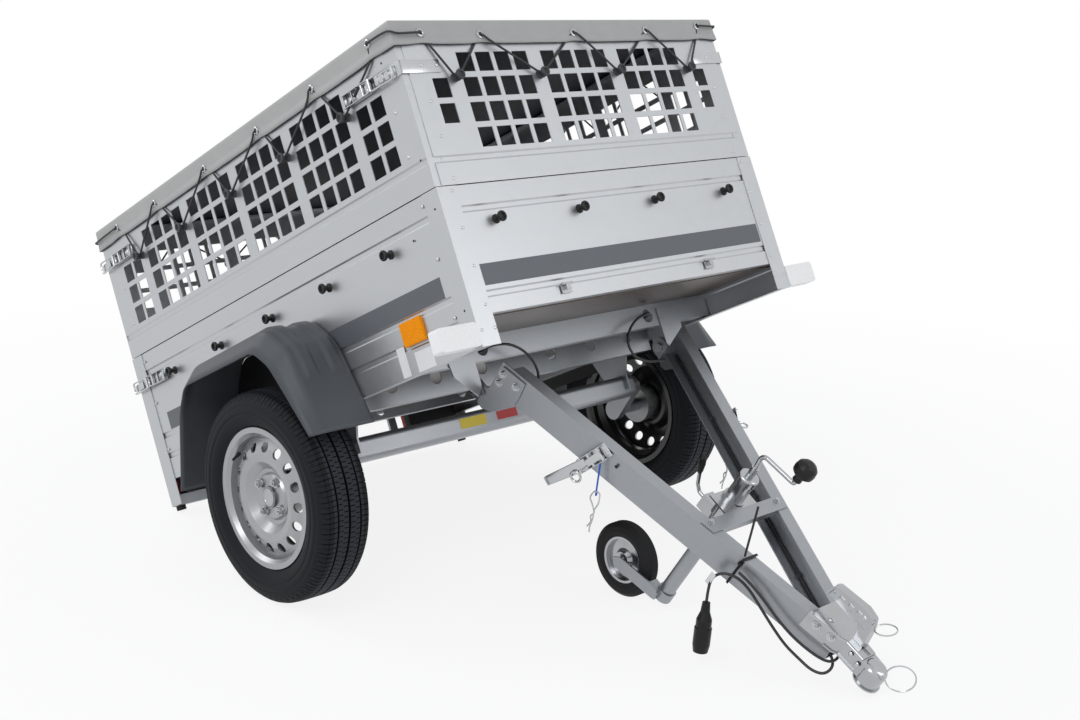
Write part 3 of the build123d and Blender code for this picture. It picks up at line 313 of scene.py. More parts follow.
def rubber(name, colour, roughness):
    """Matt rubber with dusty clouds."""
    finish = Finish(name, colour, roughness, Specular_IOR_Level=0.14)
    finish.mottle(finish.noise(14, 4.0), 0.75, 1.5, -0.08, 0.2)
    finish.bump(finish.noise(620, 3.0), 0.18, 0.0006)
    return finish.material


def tyre_rubber(name, colour, roughness):
    """Dusty tread tops, painted shade in the grooves and a cleaner sidewall."""
    finish = Finish(name, colour, roughness, Specular_IOR_Level=0.14)
    hub = BED @ WHEEL
    along, across, up = finish.parts(finish.place)
    away = (along - hub.x) * (along - hub.x) + (up - hub.z) * (up - hub.z)
    tread = abs(abs(across) - WHEEL_Y) < TREAD_HALF
    top = tread * (away > TREAD_TOP ** 2)
    groove = tread * (away < TREAD_FLOOR ** 2)
    dust = finish.noise(14, 4.0)
    dusty = finish.blend(top, finish.tones(dust, 0.75, 1.4), finish.tones(dust, 2.0, 3.4))
    # painted shade: the groove floors take the rubber at 0.35 of its colour, for the shade that falls in them
    finish.set("Base Color", finish.blend(groove, dusty, shade(colour, 0.35)))
    finish.set("Roughness", roughness - 0.08 + dust * 0.2)
    finish.bump(finish.noise(620, 3.0), 0.18, 0.0006)
    return finish.material


def moulded(name, colour, roughness, grain=700):
    """Moulded plastic with a fine grain."""
    finish = Finish(name, colour, roughness, Specular_IOR_Level=0.25)
    finish.mottle(finish.noise(6), 0.9, 1.12, -0.04, 0.08)
    finish.bump(finish.cells(grain), 0.22, 0.0005)
    return finish.material


def coated_cloth(name, colour, threads=2600):
    """Coated cloth: a fine weave under a satin coat, with soft creases whose hollows are painted darker and whose
    ridges painted lighter.
    """
    finish = Finish(name, colour, 0.42, Sheen_Weight=0.15, Coat_Weight=0.1, Coat_Roughness=0.35)
    along, across, up = finish.parts(finish.in_bed())
    warp = finish.maths("SINE", along * threads)
    weft = finish.maths("SINE", (across + up) * threads)
    creases = finish.noise(11, 5.0, 0.62, finish.in_bed((1, 1.6, 1.6)))
    # painted shade and light: the colour follows the creases' bump, darker in their hollows and lighter on their
    # ridges
    finish.mottle(creases, 0.88, 1.1, 0.0, 0.16)
    finish.bump(creases * 3.0 + warp * weft * 0.10, 0.45, 0.0012)
    return finish.material


def film_board(name, colour):
    """Film-faced plywood: a fine mesh print pressed in a dark film."""
    finish = Finish(name, colour, 0.4, Coat_Weight=0.2, Coat_Roughness=0.3)
    finish.set("Base Color", finish.tones(finish.noise(5, 3.0), 0.8, 1.2))
    finish.bump(finish.cells(170), 0.4, 0.0008)
    return finish.material


def lens(name, colour, pitch, low, high, relief):
    """A ribbed lens over a reflector, with a painted glow in its own colour and painted light in its cells."""
    finish = Finish(name, colour, 0.3, Specular_IOR_Level=0.08)
    cells = finish.cells(pitch, finish.in_bed())
    # painted light: the cells' tone follows their relief, lighter in their middles and darker at their raised rims
    finish.set("Base Color", finish.tones(cells * 1.5, high, low))
    # painted glow: the lens is no lamp, yet gives off a faint light of its own colour
    finish.set("Emission Color", (*colour, 1.0))
    finish.set("Emission Strength", 0.12)
    finish.bump(cells, relief, 0.0012)
    return finish.material


def rear_lens(name, colour, housing):
    """A ribbed lens on the rear of a dark housing, with painted light in its cells."""
    finish = Finish(name, colour, 0.2, Specular_IOR_Level=0.2, Coat_Weight=0.1, Coat_Roughness=0.06)
    flat = finish.in_bed()
    front = (finish.parts(flat)[0] + BED.inverted().translation.x) > LENS_FRONT
    cells = finish.cells(240, flat)
    # painted light: the lens cells' tone follows their relief, lighter in their middles and darker at their raised
    # rims
    finish.set("Base Color", finish.blend(front, finish.tones(cells * 1.5, 1.15, 0.8), housing))
    finish.set("Roughness", finish.roughness + front * 0.25)
    finish.bump(cells, 0.3, 0.0012)
    return finish.material


def plain(name, colour, roughness, variation=0.06, grain=240, metallic=0.0):
    """A simple coat whose tone and gloss still vary a little."""
    finish = Finish(name, colour, roughness, metallic)
    finish.mottle(finish.noise(22, 3.0), 1 - variation, 1 + variation, -0.03, 0.06)
    finish.bump(finish.noise(grain), 0.08, 0.0004)
    return finish.material


FINISHES = {}


def make_finishes(colours):
    """Fills the list of finishes."""
    FINISHES.update(
        sheet=galvanised("galvanised sheet", colours.sheet, 0.34, 0.035, 2.2),
        frame_metal=galvanised("galvanised frame", colours.frame_metal, 0.36, 0.09, 5.0),
        zinc=bright_zinc("bright zinc", (0.42, 0.43, 0.445), 0.20),
        fittings=bright_zinc("bright fittings", (0.50, 0.515, 0.53), 0.24),
        steel=bright_zinc("dull steel", (0.26, 0.265, 0.27), 0.38),
        rim=two_sided_paint("silver wheel paint", colours.rim, (0.014, 0.014, 0.015), 0.3),
        tyre=tyre_rubber("tyre rubber", (0.0105, 0.0114, 0.0138), 0.6),
        rubber=rubber("black rubber", (0.02, 0.02, 0.021), 0.6),
        guard=moulded("mudguard plastic", colours.guard, 0.42),
        plastic=moulded("black plastic", (0.009, 0.009, 0.010), 0.36, 900),
        # painted highlight: the mesh knobs' black plastic is lightened to grey for the light on them
        knob=moulded("black knob plastic lightened as painted highlight", (0.045, 0.047, 0.050), 0.4, 900),
        cloth=coated_cloth("cover cloth", colours.cloth),
        # painted shade: the cover's inner face is a near-black blue, for the shade under the cover and its skirt
        lining=plain("cover lining", (0.012, 0.017, 0.034), 0.6, 0.2),
        board=film_board("floor board", (0.055, 0.032, 0.022)),
        elastic=plain("elastic cord", (0.022, 0.022, 0.024), 0.6, 0.2, 1200),
        cable=plain("cable sheath", (0.014, 0.014, 0.016), 0.42),
        stripe=plain("stripe film", colours.stripe, 0.42, metallic=0.1),
        label=plain("blank label", (0.72, 0.73, 0.74), 0.45),
        yellow=plain("yellow label", (0.78, 0.60, 0.05), 0.45),
        red=plain("red label", (0.55, 0.05, 0.05), 0.45),
        blue=plain("blue twine", (0.004, 0.10, 0.55), 0.6, 0.15),
        lens_white=lens("white lens with painted glow", (0.78, 0.78, 0.78), 150, 0.97, 1.02, 0.25),
        lens_red=rear_lens("red lens", (0.50, 0.012, 0.010), (0.02, 0.02, 0.022)),
        lens_orange=lens("orange lens with painted glow", colours.reflector, 300, 0.79, 1.14, 0.35),
    )


CAD_FINISH = {
    "galvanised_sheet": "sheet",
    "galvanised_frame": "frame_metal",
    "bright_zinc": "zinc",
    "hub_steel": "steel",
    "rim_paint": "rim",
    "tyre_rubber": "tyre",
    "jockey_rubber": "rubber",
    "black_rubber": "rubber",
    "guard_plastic": "guard",
    "floor_board": "board",
    "cover_fabric": "cloth",
    "lamp_white": "lens_white",
    "lamp_red": "lens_red",
    "reflector_orange": "lens_orange",
    "black_plastic": "plastic",
    "cable_black": "cable",
}


# Building helpers
def facing(point, normal):
    """A frame at a point whose z axis is the normal."""
    return Matrix.Translation(point) @ Vector(normal).to_track_quat("Z", "Y").to_matrix().to_4x4()


def place_piece(shape, name, body, finish, place, smooth=35.0):
    """Turns a bmesh into a piece that rides on a body, smooth at edges up to some degrees."""
    bmesh.ops.recalc_face_normals(shape, faces=shape.faces)
    mesh = bpy.data.meshes.new(name)
    shape.to_mesh(mesh)
    shape.free()
    mesh.transform(place)
    mesh.materials.append(FINISHES[finish])
    mesh.shade_smooth()
    mesh.set_sharp_from_angle(angle=radians(smooth))
    piece = bpy.data.objects.new(name, mesh)
    bpy.context.scene.collection.objects.link(piece)
    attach(piece, body)
    return piece


def give_thickness(piece, wall, material_step=0):
    """Gives a sheet its wall, inwards from its face."""
    solid = piece.modifiers.new("thickness", "SOLIDIFY")
    solid.thickness = wall
    solid.offset = -1.0
    solid.material_offset = material_step


def round_edges(shape, verts, width, segments=2):
    """Rounds every edge between some vertices."""
    edges = list({edge for vert in verts for edge in vert.link_edges})
    bmesh.ops.bevel(
        shape, geom=edges, offset=width, segments=segments, profile=0.5, affect="EDGES", material=-1
    )


def add_box(shape, corner, opposite, rounded=0.0, segments=2):
    """A box between two opposite corners, with its edges rounded."""
    low, high = (Vector([pick(pair) for pair in zip(corner, opposite)]) for pick in (min, max))
    place = Matrix.Translation((low + high) / 2) @ Matrix.Diagonal((*(high - low), 1))
    verts = bmesh.ops.create_cube(shape, size=1, matrix=place)["verts"]
    if rounded:
        round_edges(shape, verts, rounded, segments)


def add_turned(shape, profile, place, steps=24):
    """A solid of revolution about z from (radius, height) points; off the axis it is a closed ring."""
    part = bmesh.new()
    verts = [part.verts.new((radius, 0, height)) for radius, height in profile]
    edges = [part.edges.new(pair) for pair in zip(verts, verts[1:])]
    if profile[0][0]:
        edges.append(part.edges.new((verts[-1], verts[0])))
    spin_closed(part, verts + edges, (0, 0, 1), steps)
    bmesh.ops.transform(part, matrix=place, verts=part.verts)
    mesh = bpy.data.meshes.new("part")
    part.to_mesh(mesh)
    part.free()
    shape.from_mesh(mesh)
    bpy.data.meshes.remove(mesh)


def spin_closed(shape, line, axis, steps):
    """Turns a line all the way round an axis through the origin."""
    bmesh.ops.spin(shape, geom=line, axis=axis, cent=(0, 0, 0), angle=tau, steps=steps, use_merge=True)
    bmesh.ops.remove_doubles(shape, verts=shape.verts, dist=1e-6)


def add_disc(shape, place, radius, low, high, steps=24):
    """A flat round disc between two heights."""
    add_turned(shape, ((0, low), (radius, low), (radius, high), (0, high)), place, steps)


def add_hex(shape, place, across, height, washer=0.0016):
    """A hexagon head with its washer and the bolt's tip."""
    add_disc(shape, place, across * 0.78, 0, washer, 18)
    corner = across * 0.577
    lifted = place @ Matrix.Translation((0, 0, washer + height / 2))
    bmesh.ops.create_cone(
        shape, cap_ends=True, segments=6, radius1=corner, radius2=corner, depth=height, matrix=lifted
    )
    tip = [(0, washer + height), (across * 0.26, washer + height), (across * 0.24, washer + height * 1.4)]
    add_turned(shape, [*tip, (0, washer + height * 1.45)], place, 12)


def add_dome(shape, place, radius, height):
    """A rivet or cup-square bolt head."""
    outline = ((0, 0), (1, 0), (1, 0.3), (0.8, 0.75), (0.4, 1), (0, 1))
    add_turned(shape, [(out * radius, up * height) for out, up in outline], place, 14)


def pull_edges(shape, edges):
    """Extrudes edges, and returns the new vertices and the new edges along them."""
    made = bmesh.ops.extrude_edge_only(shape, edges=edges)["geom"]
    verts = [item for item in made if isinstance(item, bmesh.types.BMVert)]
    fresh = set(verts)
    edges = [item for item in made if isinstance(item, bmesh.types.BMEdge)]
    return verts, [edge for edge in edges if fresh.issuperset(edge.verts)]


def eased(points, steps=5, closed=False):
    """A smooth line through points."""
    points = [Vector(point) for point in points]
    if closed:
        ends = [points[-1], *points, *points[:2]]
    else:
        ends = [2 * points[0] - points[1], *points, 2 * points[-1] - points[-2]]
    line = []
    for before, start, end, after in zip(ends, ends[1:], ends[2:], ends[3:]):
        square = 2 * before - 5 * start + 4 * end - after
        cube = 3 * start - before - 3 * end + after
        for step in range(steps):
            t = step / steps
            line.append(start + ((end - before) * t + (square * t * t + cube * t ** 3)) / 2)
    return line if closed else [*line, points[-1]]


def eased_corner(start, corner, end, t):
    """A point on the soft bend from start to end that a corner pulls out."""
    return start * (1 - t) ** 2 + corner * (2 * t * (1 - t)) + end * t * t


def add_rod(shape, path, radius, sides=8, closed=False):
    """A round rod drawn along a line of points."""
    count = len(path)
    ways = []
    for place, point in enumerate(path):
        before = path[place - 1] if place or closed else point
        after = path[(place + 1) % count] if place < count - 1 or closed else point
        ways.append((after - before).normalized())
    across = ways[0].orthogonal().normalized()
    frames = []
    for point, way in zip(path, ways):
        across = (across - way * across.dot(way)).normalized()
        turn = Matrix((across, way.cross(across), way)).transposed().to_4x4()
        frames.append(Matrix.Translation(point) @ turn)
    ring = {"segments": sides, "radius": radius, "cap_ends": not closed}
    verts = bmesh.ops.create_circle(shape, matrix=frames[0], **ring)["verts"]
    first = edges = list({edge for vert in verts for edge in vert.link_edges})
    for before, after in zip(frames, frames[1:]):
        verts, edges = pull_edges(shape, edges)
        bmesh.ops.transform(shape, matrix=after @ before.inverted(), verts=verts)
    if closed:
        bmesh.ops.bridge_loops(shape, edges=edges + first)
    else:
        bmesh.ops.contextual_create(shape, geom=edges)


def arc(centre, radius, turn, up, steps):
    """Points on an arc about a centre, from the x axis towards up, through some degrees."""
    across, up = Vector((1, 0, 0)), Vector(up)
    angles = [radians(turn * step / steps) for step in range(steps + 1)]
    return [centre + across * (radius * cos(angle)) + up * (radius * sin(angle)) for angle in angles]


# Cords: the cable's own routes, in the drawbar's or the bed's axes
PLUG_CORD = (
    (1.004, -0.024, 0.056), (1.026, -0.026, 0.052), (1.042, -0.039, 0.042), (1.040, -0.058, 0.026),
    (1.014, -0.067, 0.014), (0.979, -0.069, 0.010), (0.934, -0.078, 0.011), (0.886, -0.092, 0.029),
    (0.837, -0.107, 0.052), (0.794, -0.120, 0.072), (0.758, -0.136, 0.079), (0.732, -0.152, 0.068),
    (0.722, -0.162, 0.044), (0.732, -0.166, 0.016), (0.750, -0.168, -0.014),
)
SLACK_CORD = (
    (1.004, -0.012, 0.078), (1.021, -0.013, 0.075), (1.033, -0.024, 0.065), (1.032, -0.044, 0.056),
    (1.012, -0.058, 0.050), (0.972, -0.070, 0.046), (0.931, -0.082, 0.048), (0.887, -0.095, 0.058),
    (0.836, -0.110, 0.076), (0.790, -0.124, 0.089), (0.756, -0.132, 0.090),
)
FAR_LOOP = (
    (-0.314, 0.309, -0.342), (-0.290, 0.304, -0.338), (-0.270, 0.284, -0.338), (-0.260, 0.250, -0.343),
    (-0.256, 0.210, -0.352), (-0.256, 0.172, -0.378), (-0.257, 0.154, -0.414), (-0.256, 0.164, -0.448),
    (-0.250, 0.194, -0.468), (-0.243, 0.228, -0.475), (-0.237, 0.256, -0.476),
)
NEAR_LOOP = (
    (-0.314, -0.309, -0.346), (-0.290, -0.303, -0.343), (-0.272, -0.280, -0.342), (-0.262, -0.246, -0.350),
    (-0.259, -0.210, -0.374), (-0.257, -0.190, -0.410), (-0.255, -0.190, -0.444), (-0.250, -0.210, -0.466),
    (-0.243, -0.236, -0.474), (-0.237, -0.257, -0.476),
)


def cable(name, route, place, body, diameter):
    """A free cable on one smooth curve through its route."""
    curve = bpy.data.curves.new(name, "CURVE")
    curve.dimensions = "3D"
    curve.bevel_depth = diameter / 2
    curve.bevel_resolution = 5
    curve.resolution_u = 12
    curve.use_fill_caps = True
    spline = curve.splines.new("NURBS")
    spline.points.add(len(route) - 1)
    for point, local in zip(spline.points, route):
        point.co = (*(place @ Vector(local)), 1.0)
    spline.order_u = 3
    spline.use_endpoint_u = True
    piece = bpy.data.objects.new(name + "_soft", curve)
    bpy.context.scene.collection.objects.link(piece)
    curve.materials.append(FINISHES["cable"])
    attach(piece, body)
    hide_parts(name)


class TRAILER_OT_finishes(bpy.types.Operator):
    """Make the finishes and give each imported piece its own"""

    bl_idname = "trailer.finishes"
    bl_label = "Finishes"

    def execute(self, context):
        make_finishes(context.scene.trailer_colours)
        slots = {part["node"]: part["material_slot"] for part in frame["record"]["subparts"]}
        for node, piece in frame["nodes"].items():
            piece.data.materials.clear()
            piece.data.materials.append(FINISHES[CAD_FINISH[slots[node]]])
        return {"FINISHED"}


class TRAILER_OT_cables(bpy.types.Operator):
    """Lay the lighting cables"""

    bl_idname = "trailer.cables"
    bl_label = "Cables"

    TAG, TAG_ROUNDED = ((0.7150, -0.1668, 0.022), (0.7290, -0.1658, 0.058)), 0.0002

    def execute(self, context):
        diameter = context.scene.trailer_sizes.cord_diameter
        tag = bmesh.new()
        add_box(tag, *self.TAG, self.TAG_ROUNDED, 1)
        tag = place_piece(tag, "cord_tag", "drawbar", "label", DRAWBAR)
        cable("plug_cord", PLUG_CORD, DRAWBAR, "drawbar", diameter)
        cable("slack_cord", SLACK_CORD, DRAWBAR, "drawbar", diameter)
        cable("far_loop", FAR_LOOP, BED, "bed", diameter)
        cable("near_loop", NEAR_LOOP, BED, "bed", diameter)
        return {"FINISHED"}


# The walls' own coordinates: along the wall, outwards from its face, and up
WALLS = {
    "right": lambda along, out, up: Vector((along, -HALF_WIDTH - out, up)),
    "left": lambda along, out, up: Vector((along, HALF_WIDTH + out, up)),
    "front": lambda along, out, up: Vector((out, along, up)),
    "rear": lambda along, out, up: Vector((-BOX_LENGTH - out, along, up)),
}
OUTWARD = {"right": (0, -1, 0), "left": (0, 1, 0), "front": (1, 0, 0), "rear": (-1, 0, 0)}

# Eyelets in the cover's skirt: place along the wall and height
SIDE_EYELETS = (
    (-0.083, 0.379), (-0.334, 0.369), (-0.601, 0.364), (-0.879, 0.362), (-1.168, 0.364), (-1.403, 0.370),
)
END_EYELETS = ((-0.488, 0.367), (-0.302, 0.361), (0.017, 0.363), (0.291, 0.367), (0.505, 0.378))
# Where the elastic comes out below the hem: before and after each knob
SIDE_HEMS = ((-0.092, -0.312), (None, -0.578), (None, -0.850), (None, -1.138), (None, -1.374))
END_HEMS = ((-0.478, -0.321), (None, -0.017), (None, 0.258), (None, 0.492))


def wall_table(wall):
    """The eyelets, knobs and hem crossings of one wall."""
    if wall in ("left", "right"):
        return SIDE_EYELETS, MESH_KNOB_X, SIDE_HEMS
    return END_EYELETS, END_KNOB_Y, END_HEMS


def on_wall(wall, along, out, up):
    """A frame on a wall that faces outwards."""
    return facing(WALLS[wall](along, out, up), OUTWARD[wall])


class TRAILER_OT_cover(bpy.types.Operator):
    """Stretch the cover over the mesh walls"""

    bl_idname = "trailer.cover"
    bl_label = "Cover"

    GRID = (102, 76)
    OVERHANG = 0.0055
    CORNER = 0.016
    THICKNESS = 0.0014
    SHOULDER = ((0.0022, 0.0008), (0.0040, 0.0026), (0.0052, 0.0055))  # outwards and down
    LEVELS = (0.16, 0.3, 0.44, 0.58, 0.71, 0.735, 0.87, 1.0)  # rings down the skirt, as shares of its drop
    HEM_LEVEL = 0.73
    HEM_OUT = 0.0009
    SAG = 0.004
    RIPPLE = 0.0007
    PULL_WIDTH = 0.03
    PULL_LIFT = 0.004
    FOLD, FOLD_WAVE, FOLD_LEAST = 0.0016, 0.0006, 0.0006

    def execute(self, context):
        drop = context.scene.trailer_sizes.skirt_drop
        edge_out, edge_down = self.SHOULDER[-1]
        reach = self.OVERHANG - edge_out
        size = Vector((BOX_LENGTH / 2 + reach, HALF_WIDTH + reach))
        shape = bmesh.new()
        place = Matrix.Translation((-BOX_LENGTH / 2, 0, COVER_TOP)) @ Matrix.Diagonal((size.x, size.y, 1, 1))
        bmesh.ops.create_grid(shape, x_segments=self.GRID[0], y_segments=self.GRID[1], size=1.0, matrix=place)
        for vert in shape.verts:
            vert.co.z -= self.hollow(vert.co, size)
        edges = [edge for edge in shape.edges if edge.is_boundary]
        brim = {vert: (vert.co.copy(), self.outward(vert.co, size)) for edge in edges for vert in edge.verts}
        steps = [(out, down, 0.0) for out, down in self.SHOULDER]
        steps += [(edge_out, edge_down + (drop - edge_down) * level, level) for level in self.LEVELS]
        for out, down, level in steps:
            verts, edges = pull_edges(shape, edges)
            hem = self.HEM_OUT if level > self.HEM_LEVEL else 0.0
            pulled = {}
            for vert in verts:
                linked = [edge.other_vert(vert) for edge in vert.link_edges]
                start, outward = pulled[vert] = next(brim[above] for above in linked if above in brim)
                fold, lift = self.folds(start, level)
                vert.co = start + outward * (out + fold + hem)
                vert.co.z = start.z - down + lift
            brim = pulled
        piece = place_piece(shape, "cover_sheet", "bed", "cloth", BED, 60)
        # the sheet's inner face takes the near-black blue of painted shade
        give_thickness(piece, self.THICKNESS, 1)
        piece.data.materials.append(FINISHES["lining"])
        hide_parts("cover")
        return {"FINISHED"}

    def hollow(self, point, size):
        """How far the sheet lies below its edge: a slack middle and pulls from the corners."""
        x = (point.x + BOX_LENGTH / 2) / size.x
        y = point.y / size.y
        middle = self.SAG * (1 - x * x) * (1 - y * y)
        waves = sin(9.0 * x + 3.0 * y) * sin(5.5 * y - 2.0 * x + 1.0)
        return middle + self.RIPPLE * waves * (1 - x ** 6) * (1 - y ** 6)

    def outward(self, point, size):
        """Direction away from the middle, square to the wall; corners are rounded."""
        x = point.x + BOX_LENGTH / 2
        way = Vector((1 if x > 0 else -1, 1 if point.y > 0 else -1, 0))
        overlap = Vector((abs(x) - size.x + self.CORNER, abs(point.y) - size.y + self.CORNER))
        if overlap.x > 0 and overlap.y > 0:
            overlap.normalize()
            return Vector((overlap.x * way.x, overlap.y * way.y, 0))
        return Vector((way.x, 0, 0)) if overlap.x > overlap.y else Vector((0, way.y, 0))

    def folds(self, point, level):
        """Outward fold of the skirt at a point, and the lift of its edge by the elastic."""
        if abs(abs(point.y) - HALF_WIDTH) < 0.01:
            eyelets, along, beside = SIDE_EYELETS, point.x, point.y
        else:
            eyelets, along, beside = END_EYELETS, point.y, point.x
        nearest = min(abs(along - eyelet) for eyelet, _ in eyelets)
        pull = exp(-((nearest / self.PULL_WIDTH) ** 2))
        wave = sin(along * 41.0 + beside * 7.0) + 0.6 * sin(along * 97.0 + 1.3)
        fold = level ** 1.4 * ((self.FOLD + self.FOLD_WAVE * wave) * (1 - pull) + self.FOLD_LEAST)
        return fold, level * self.PULL_LIFT * pull


class TRAILER_OT_eyelets(bpy.types.Operator):
    """Set the eyelets in the cover's skirt"""

    bl_idname = "trailer.eyelets"
    bl_label = "Eyelets"

    PROFILE = (
        (0.0056, 0.0), (0.0056, 0.0016), (0.0072, 0.0030), (0.0094, 0.0026), (0.0110, 0.0010),
        (0.0110, 0.0),
    )
    # dark discs inside the eyelets' rings: the cord passes there, the rest is painted shade
    OPENING = (0.0058, 0.0002, 0.0006)
    SKIRT_OUT = 0.0068

    def execute(self, context):
        rings, opening_shades = bmesh.new(), bmesh.new()
        for wall in OUTWARD:
            for along, up in wall_table(wall)[0]:
                place = on_wall(wall, along, self.SKIRT_OUT, up)
                add_turned(rings, self.PROFILE, place)
                # painted shade: a dark disc, in the elastic's finish, fills each eyelet round the cord
                add_disc(opening_shades, place, *self.OPENING, 16)
        place_piece(rings, "cover_eyelets", "bed", "zinc", BED)
        place_piece(opening_shades, "eyelet_opening_shades", "bed", "elastic", BED)
        return {"FINISHED"}


class TRAILER_OT_elastic(bpy.types.Operator):
    """Lace the cover's elastic cord round the knobs"""

    bl_idname = "trailer.elastic"
    bl_label = "Elastic cord"

    # Outwards from the wall: at an eyelet, outside the skirt, behind it, and round a knob's neck
    AT_EYELET, OUTSIDE, BEHIND, KNOB_OUT = 0.006, 0.0125, 0.0035, 0.010
    HEM = 0.338
    # Along, outwards and up from where the cord crosses the hem behind the skirt, and from a knob
    CROSSING = ((0.0, 0.0, 0.008), (0.012, 0.002, -0.006))
    NECK = ((-0.0090, 0.003), (-0.0062, -0.0068), (0.0, -0.0095), (0.0062, -0.0068), (0.0090, 0.003))

    def execute(self, context):
        radius = context.scene.trailer_sizes.elastic_diameter / 2
        shape = bmesh.new()
        for wall, at in WALLS.items():
            for line in self.strands(wall):
                add_rod(shape, [at(*point) for point in eased(line)], radius)
        for line in self.corners():
            add_rod(shape, eased(line, 6), radius)
        place_piece(shape, "elastic_cord", "bed", "elastic", BED)
        return {"FINISHED"}

    def strands(self, wall):
        """Lines of one wall, each from an eyelet round a knob and up behind the skirt to the next eyelet."""
        eyelets, knobs, hems = wall_table(wall)
        step = 1 if knobs[1] > knobs[0] else -1
        for (start, start_up), (end, end_up), knob, (coming, going) in zip(eyelets, eyelets[1:], knobs, hems):
            line = [(start, self.AT_EYELET, start_up)]
            if coming is None:
                line.append((start + step * 0.003, self.OUTSIDE, start_up - 0.004))
                line.append((start + step * 0.030, self.OUTSIDE + 0.001, self.HEM - 0.002))
            else:
                line += self.crossing(coming, step)
            line += [(knob + step * along, self.KNOB_OUT, KNOB_MESH_Z + up) for along, up in self.NECK]
            yield [*line, *reversed(self.crossing(going, -step)), (end, self.AT_EYELET, end_up)]

    def crossing(self, place, step):
        """The cord's points where it comes out from behind the skirt."""
        return [(place + step * along, self.BEHIND + out, self.HEM + up) for along, out, up in self.CROSSING]

    def corners(self):
        """Lines that lie outside the skirt round the four corners."""
        out = self.OUTSIDE
        for end, way, eyelet in (("front", 1, 0), ("rear", -1, -1)):
            corner = WALLS[end](0, out - 0.004, 0).x
            for side, sign in SIDES:
                along_side, up_side = SIDE_EYELETS[eyelet]
                along_end, up_end = END_EYELETS[0 if sign < 0 else -1]
                yield [
                    WALLS[side](along_side, self.AT_EYELET, up_side),
                    WALLS[side](along_side + way * 0.006, out, up_side - 0.001),
                    Vector((corner - way * 0.02, sign * (HALF_WIDTH + out), up_side - 0.004)),
                    Vector((corner, sign * (HALF_WIDTH + out - 0.004), (up_side + up_end) / 2 - 0.003)),
                    WALLS[end](sign * (HALF_WIDTH - 0.012), out, up_end - 0.003),
                    WALLS[end](along_end + sign * 0.006, out, up_end - 0.001),
                    WALLS[end](along_end, self.AT_EYELET, up_end),
                ]


class TRAILER_OT_knobs(bpy.types.Operator):
    """Fit the lacing knobs"""

    bl_idname = "trailer.knobs"
    bl_label = "Knobs"

    PROFILE = (
        (0.0, 0.0), (0.0115, 0.0), (0.0115, 0.0025), (0.0066, 0.0060), (0.0062, 0.0145), (0.0115, 0.0180),
        (0.0132, 0.0210), (0.0130, 0.0245), (0.0112, 0.0265), (0.0078, 0.0260), (0.0060, 0.0222),
        (0.0, 0.0216),
    )
    LOW_X = (-0.226, -0.495, -0.769, -1.041, -1.312)
    LOW_Z = -0.091
    LOW_OUT = -0.0025

    def execute(self, context):
        low, gate, mesh = bmesh.new(), bmesh.new(), bmesh.new()
        for wall, shape in (("right", low), ("left", low), ("front", low), ("rear", gate)):
            mesh_places = wall_table(wall)[1]
            for along in self.LOW_X if wall in ("right", "left") else mesh_places:
                add_turned(shape, self.PROFILE, on_wall(wall, along, self.LOW_OUT, self.LOW_Z))
            for along in mesh_places:
                add_turned(mesh, self.PROFILE, on_wall(wall, along, 0, KNOB_MESH_Z))
        place_piece(low, "low_knobs", "bed", "plastic", BED)
        place_piece(gate, "tailgate_knobs", "tailgate", "plastic", BED)
        # the mesh knobs take a black plastic lightened to grey, as painted highlight
        place_piece(mesh, "mesh_knobs", "bed", "knob", BED)
        return {"FINISHED"}


class TRAILER_OT_stripes(bpy.types.Operator):
    """Lay the plain band and the blank labels"""

    bl_idname = "trailer.stripes"
    bl_label = "Stripes and labels"

    BAND = (-0.2425, -0.1915)
    SIDE_BAND = (-1.420, -0.080)
    FRONT_BAND = 0.506
    FILM = 0.0005
    BACK = -0.0002  # films reach a little into what they lie on
    SHEET_INSET = 0.0025
    SIDE_LABELS = (((-0.307, -0.276), (-0.377, -0.304)), ((-0.244, -0.176), (-0.377, -0.329)))
    AXLE_FACE = -0.6479
    AXLE_LABELS = (
        ("yellow_label", "yellow", (-0.155, -0.061), (-0.500, -0.472)),
        ("red_label", "red", (-0.020, 0.056), (-0.498, -0.474)),
    )

    def execute(self, context):
        band, labels = bmesh.new(), bmesh.new()
        for side, _ in SIDES:
            self.film(band, WALLS[side], -self.SHEET_INSET, self.SIDE_BAND, self.BAND)
        self.film(band, WALLS["front"], -self.SHEET_INSET, (-self.FRONT_BAND, self.FRONT_BAND), self.BAND)
        place_piece(band, "band_stripes", "bed", "stripe", BED)
        for along, up in self.SIDE_LABELS:
            self.film(labels, WALLS["right"], -self.SHEET_INSET, along, up)
        place_piece(labels, "blank_labels", "bed", "label", BED)
        for name, finish, along, up in self.AXLE_LABELS:
            label = bmesh.new()
            self.film(label, WALLS["front"], self.AXLE_FACE, along, up)
            place_piece(label, name, "bed", finish, BED)
        return {"FINISHED"}

    def film(self, shape, at, face, along, up):
        """A thin film on a face of a wall."""
        add_box(shape, at(along[0], face + self.BACK, up[0]), at(along[1], face + self.FILM, up[1]))


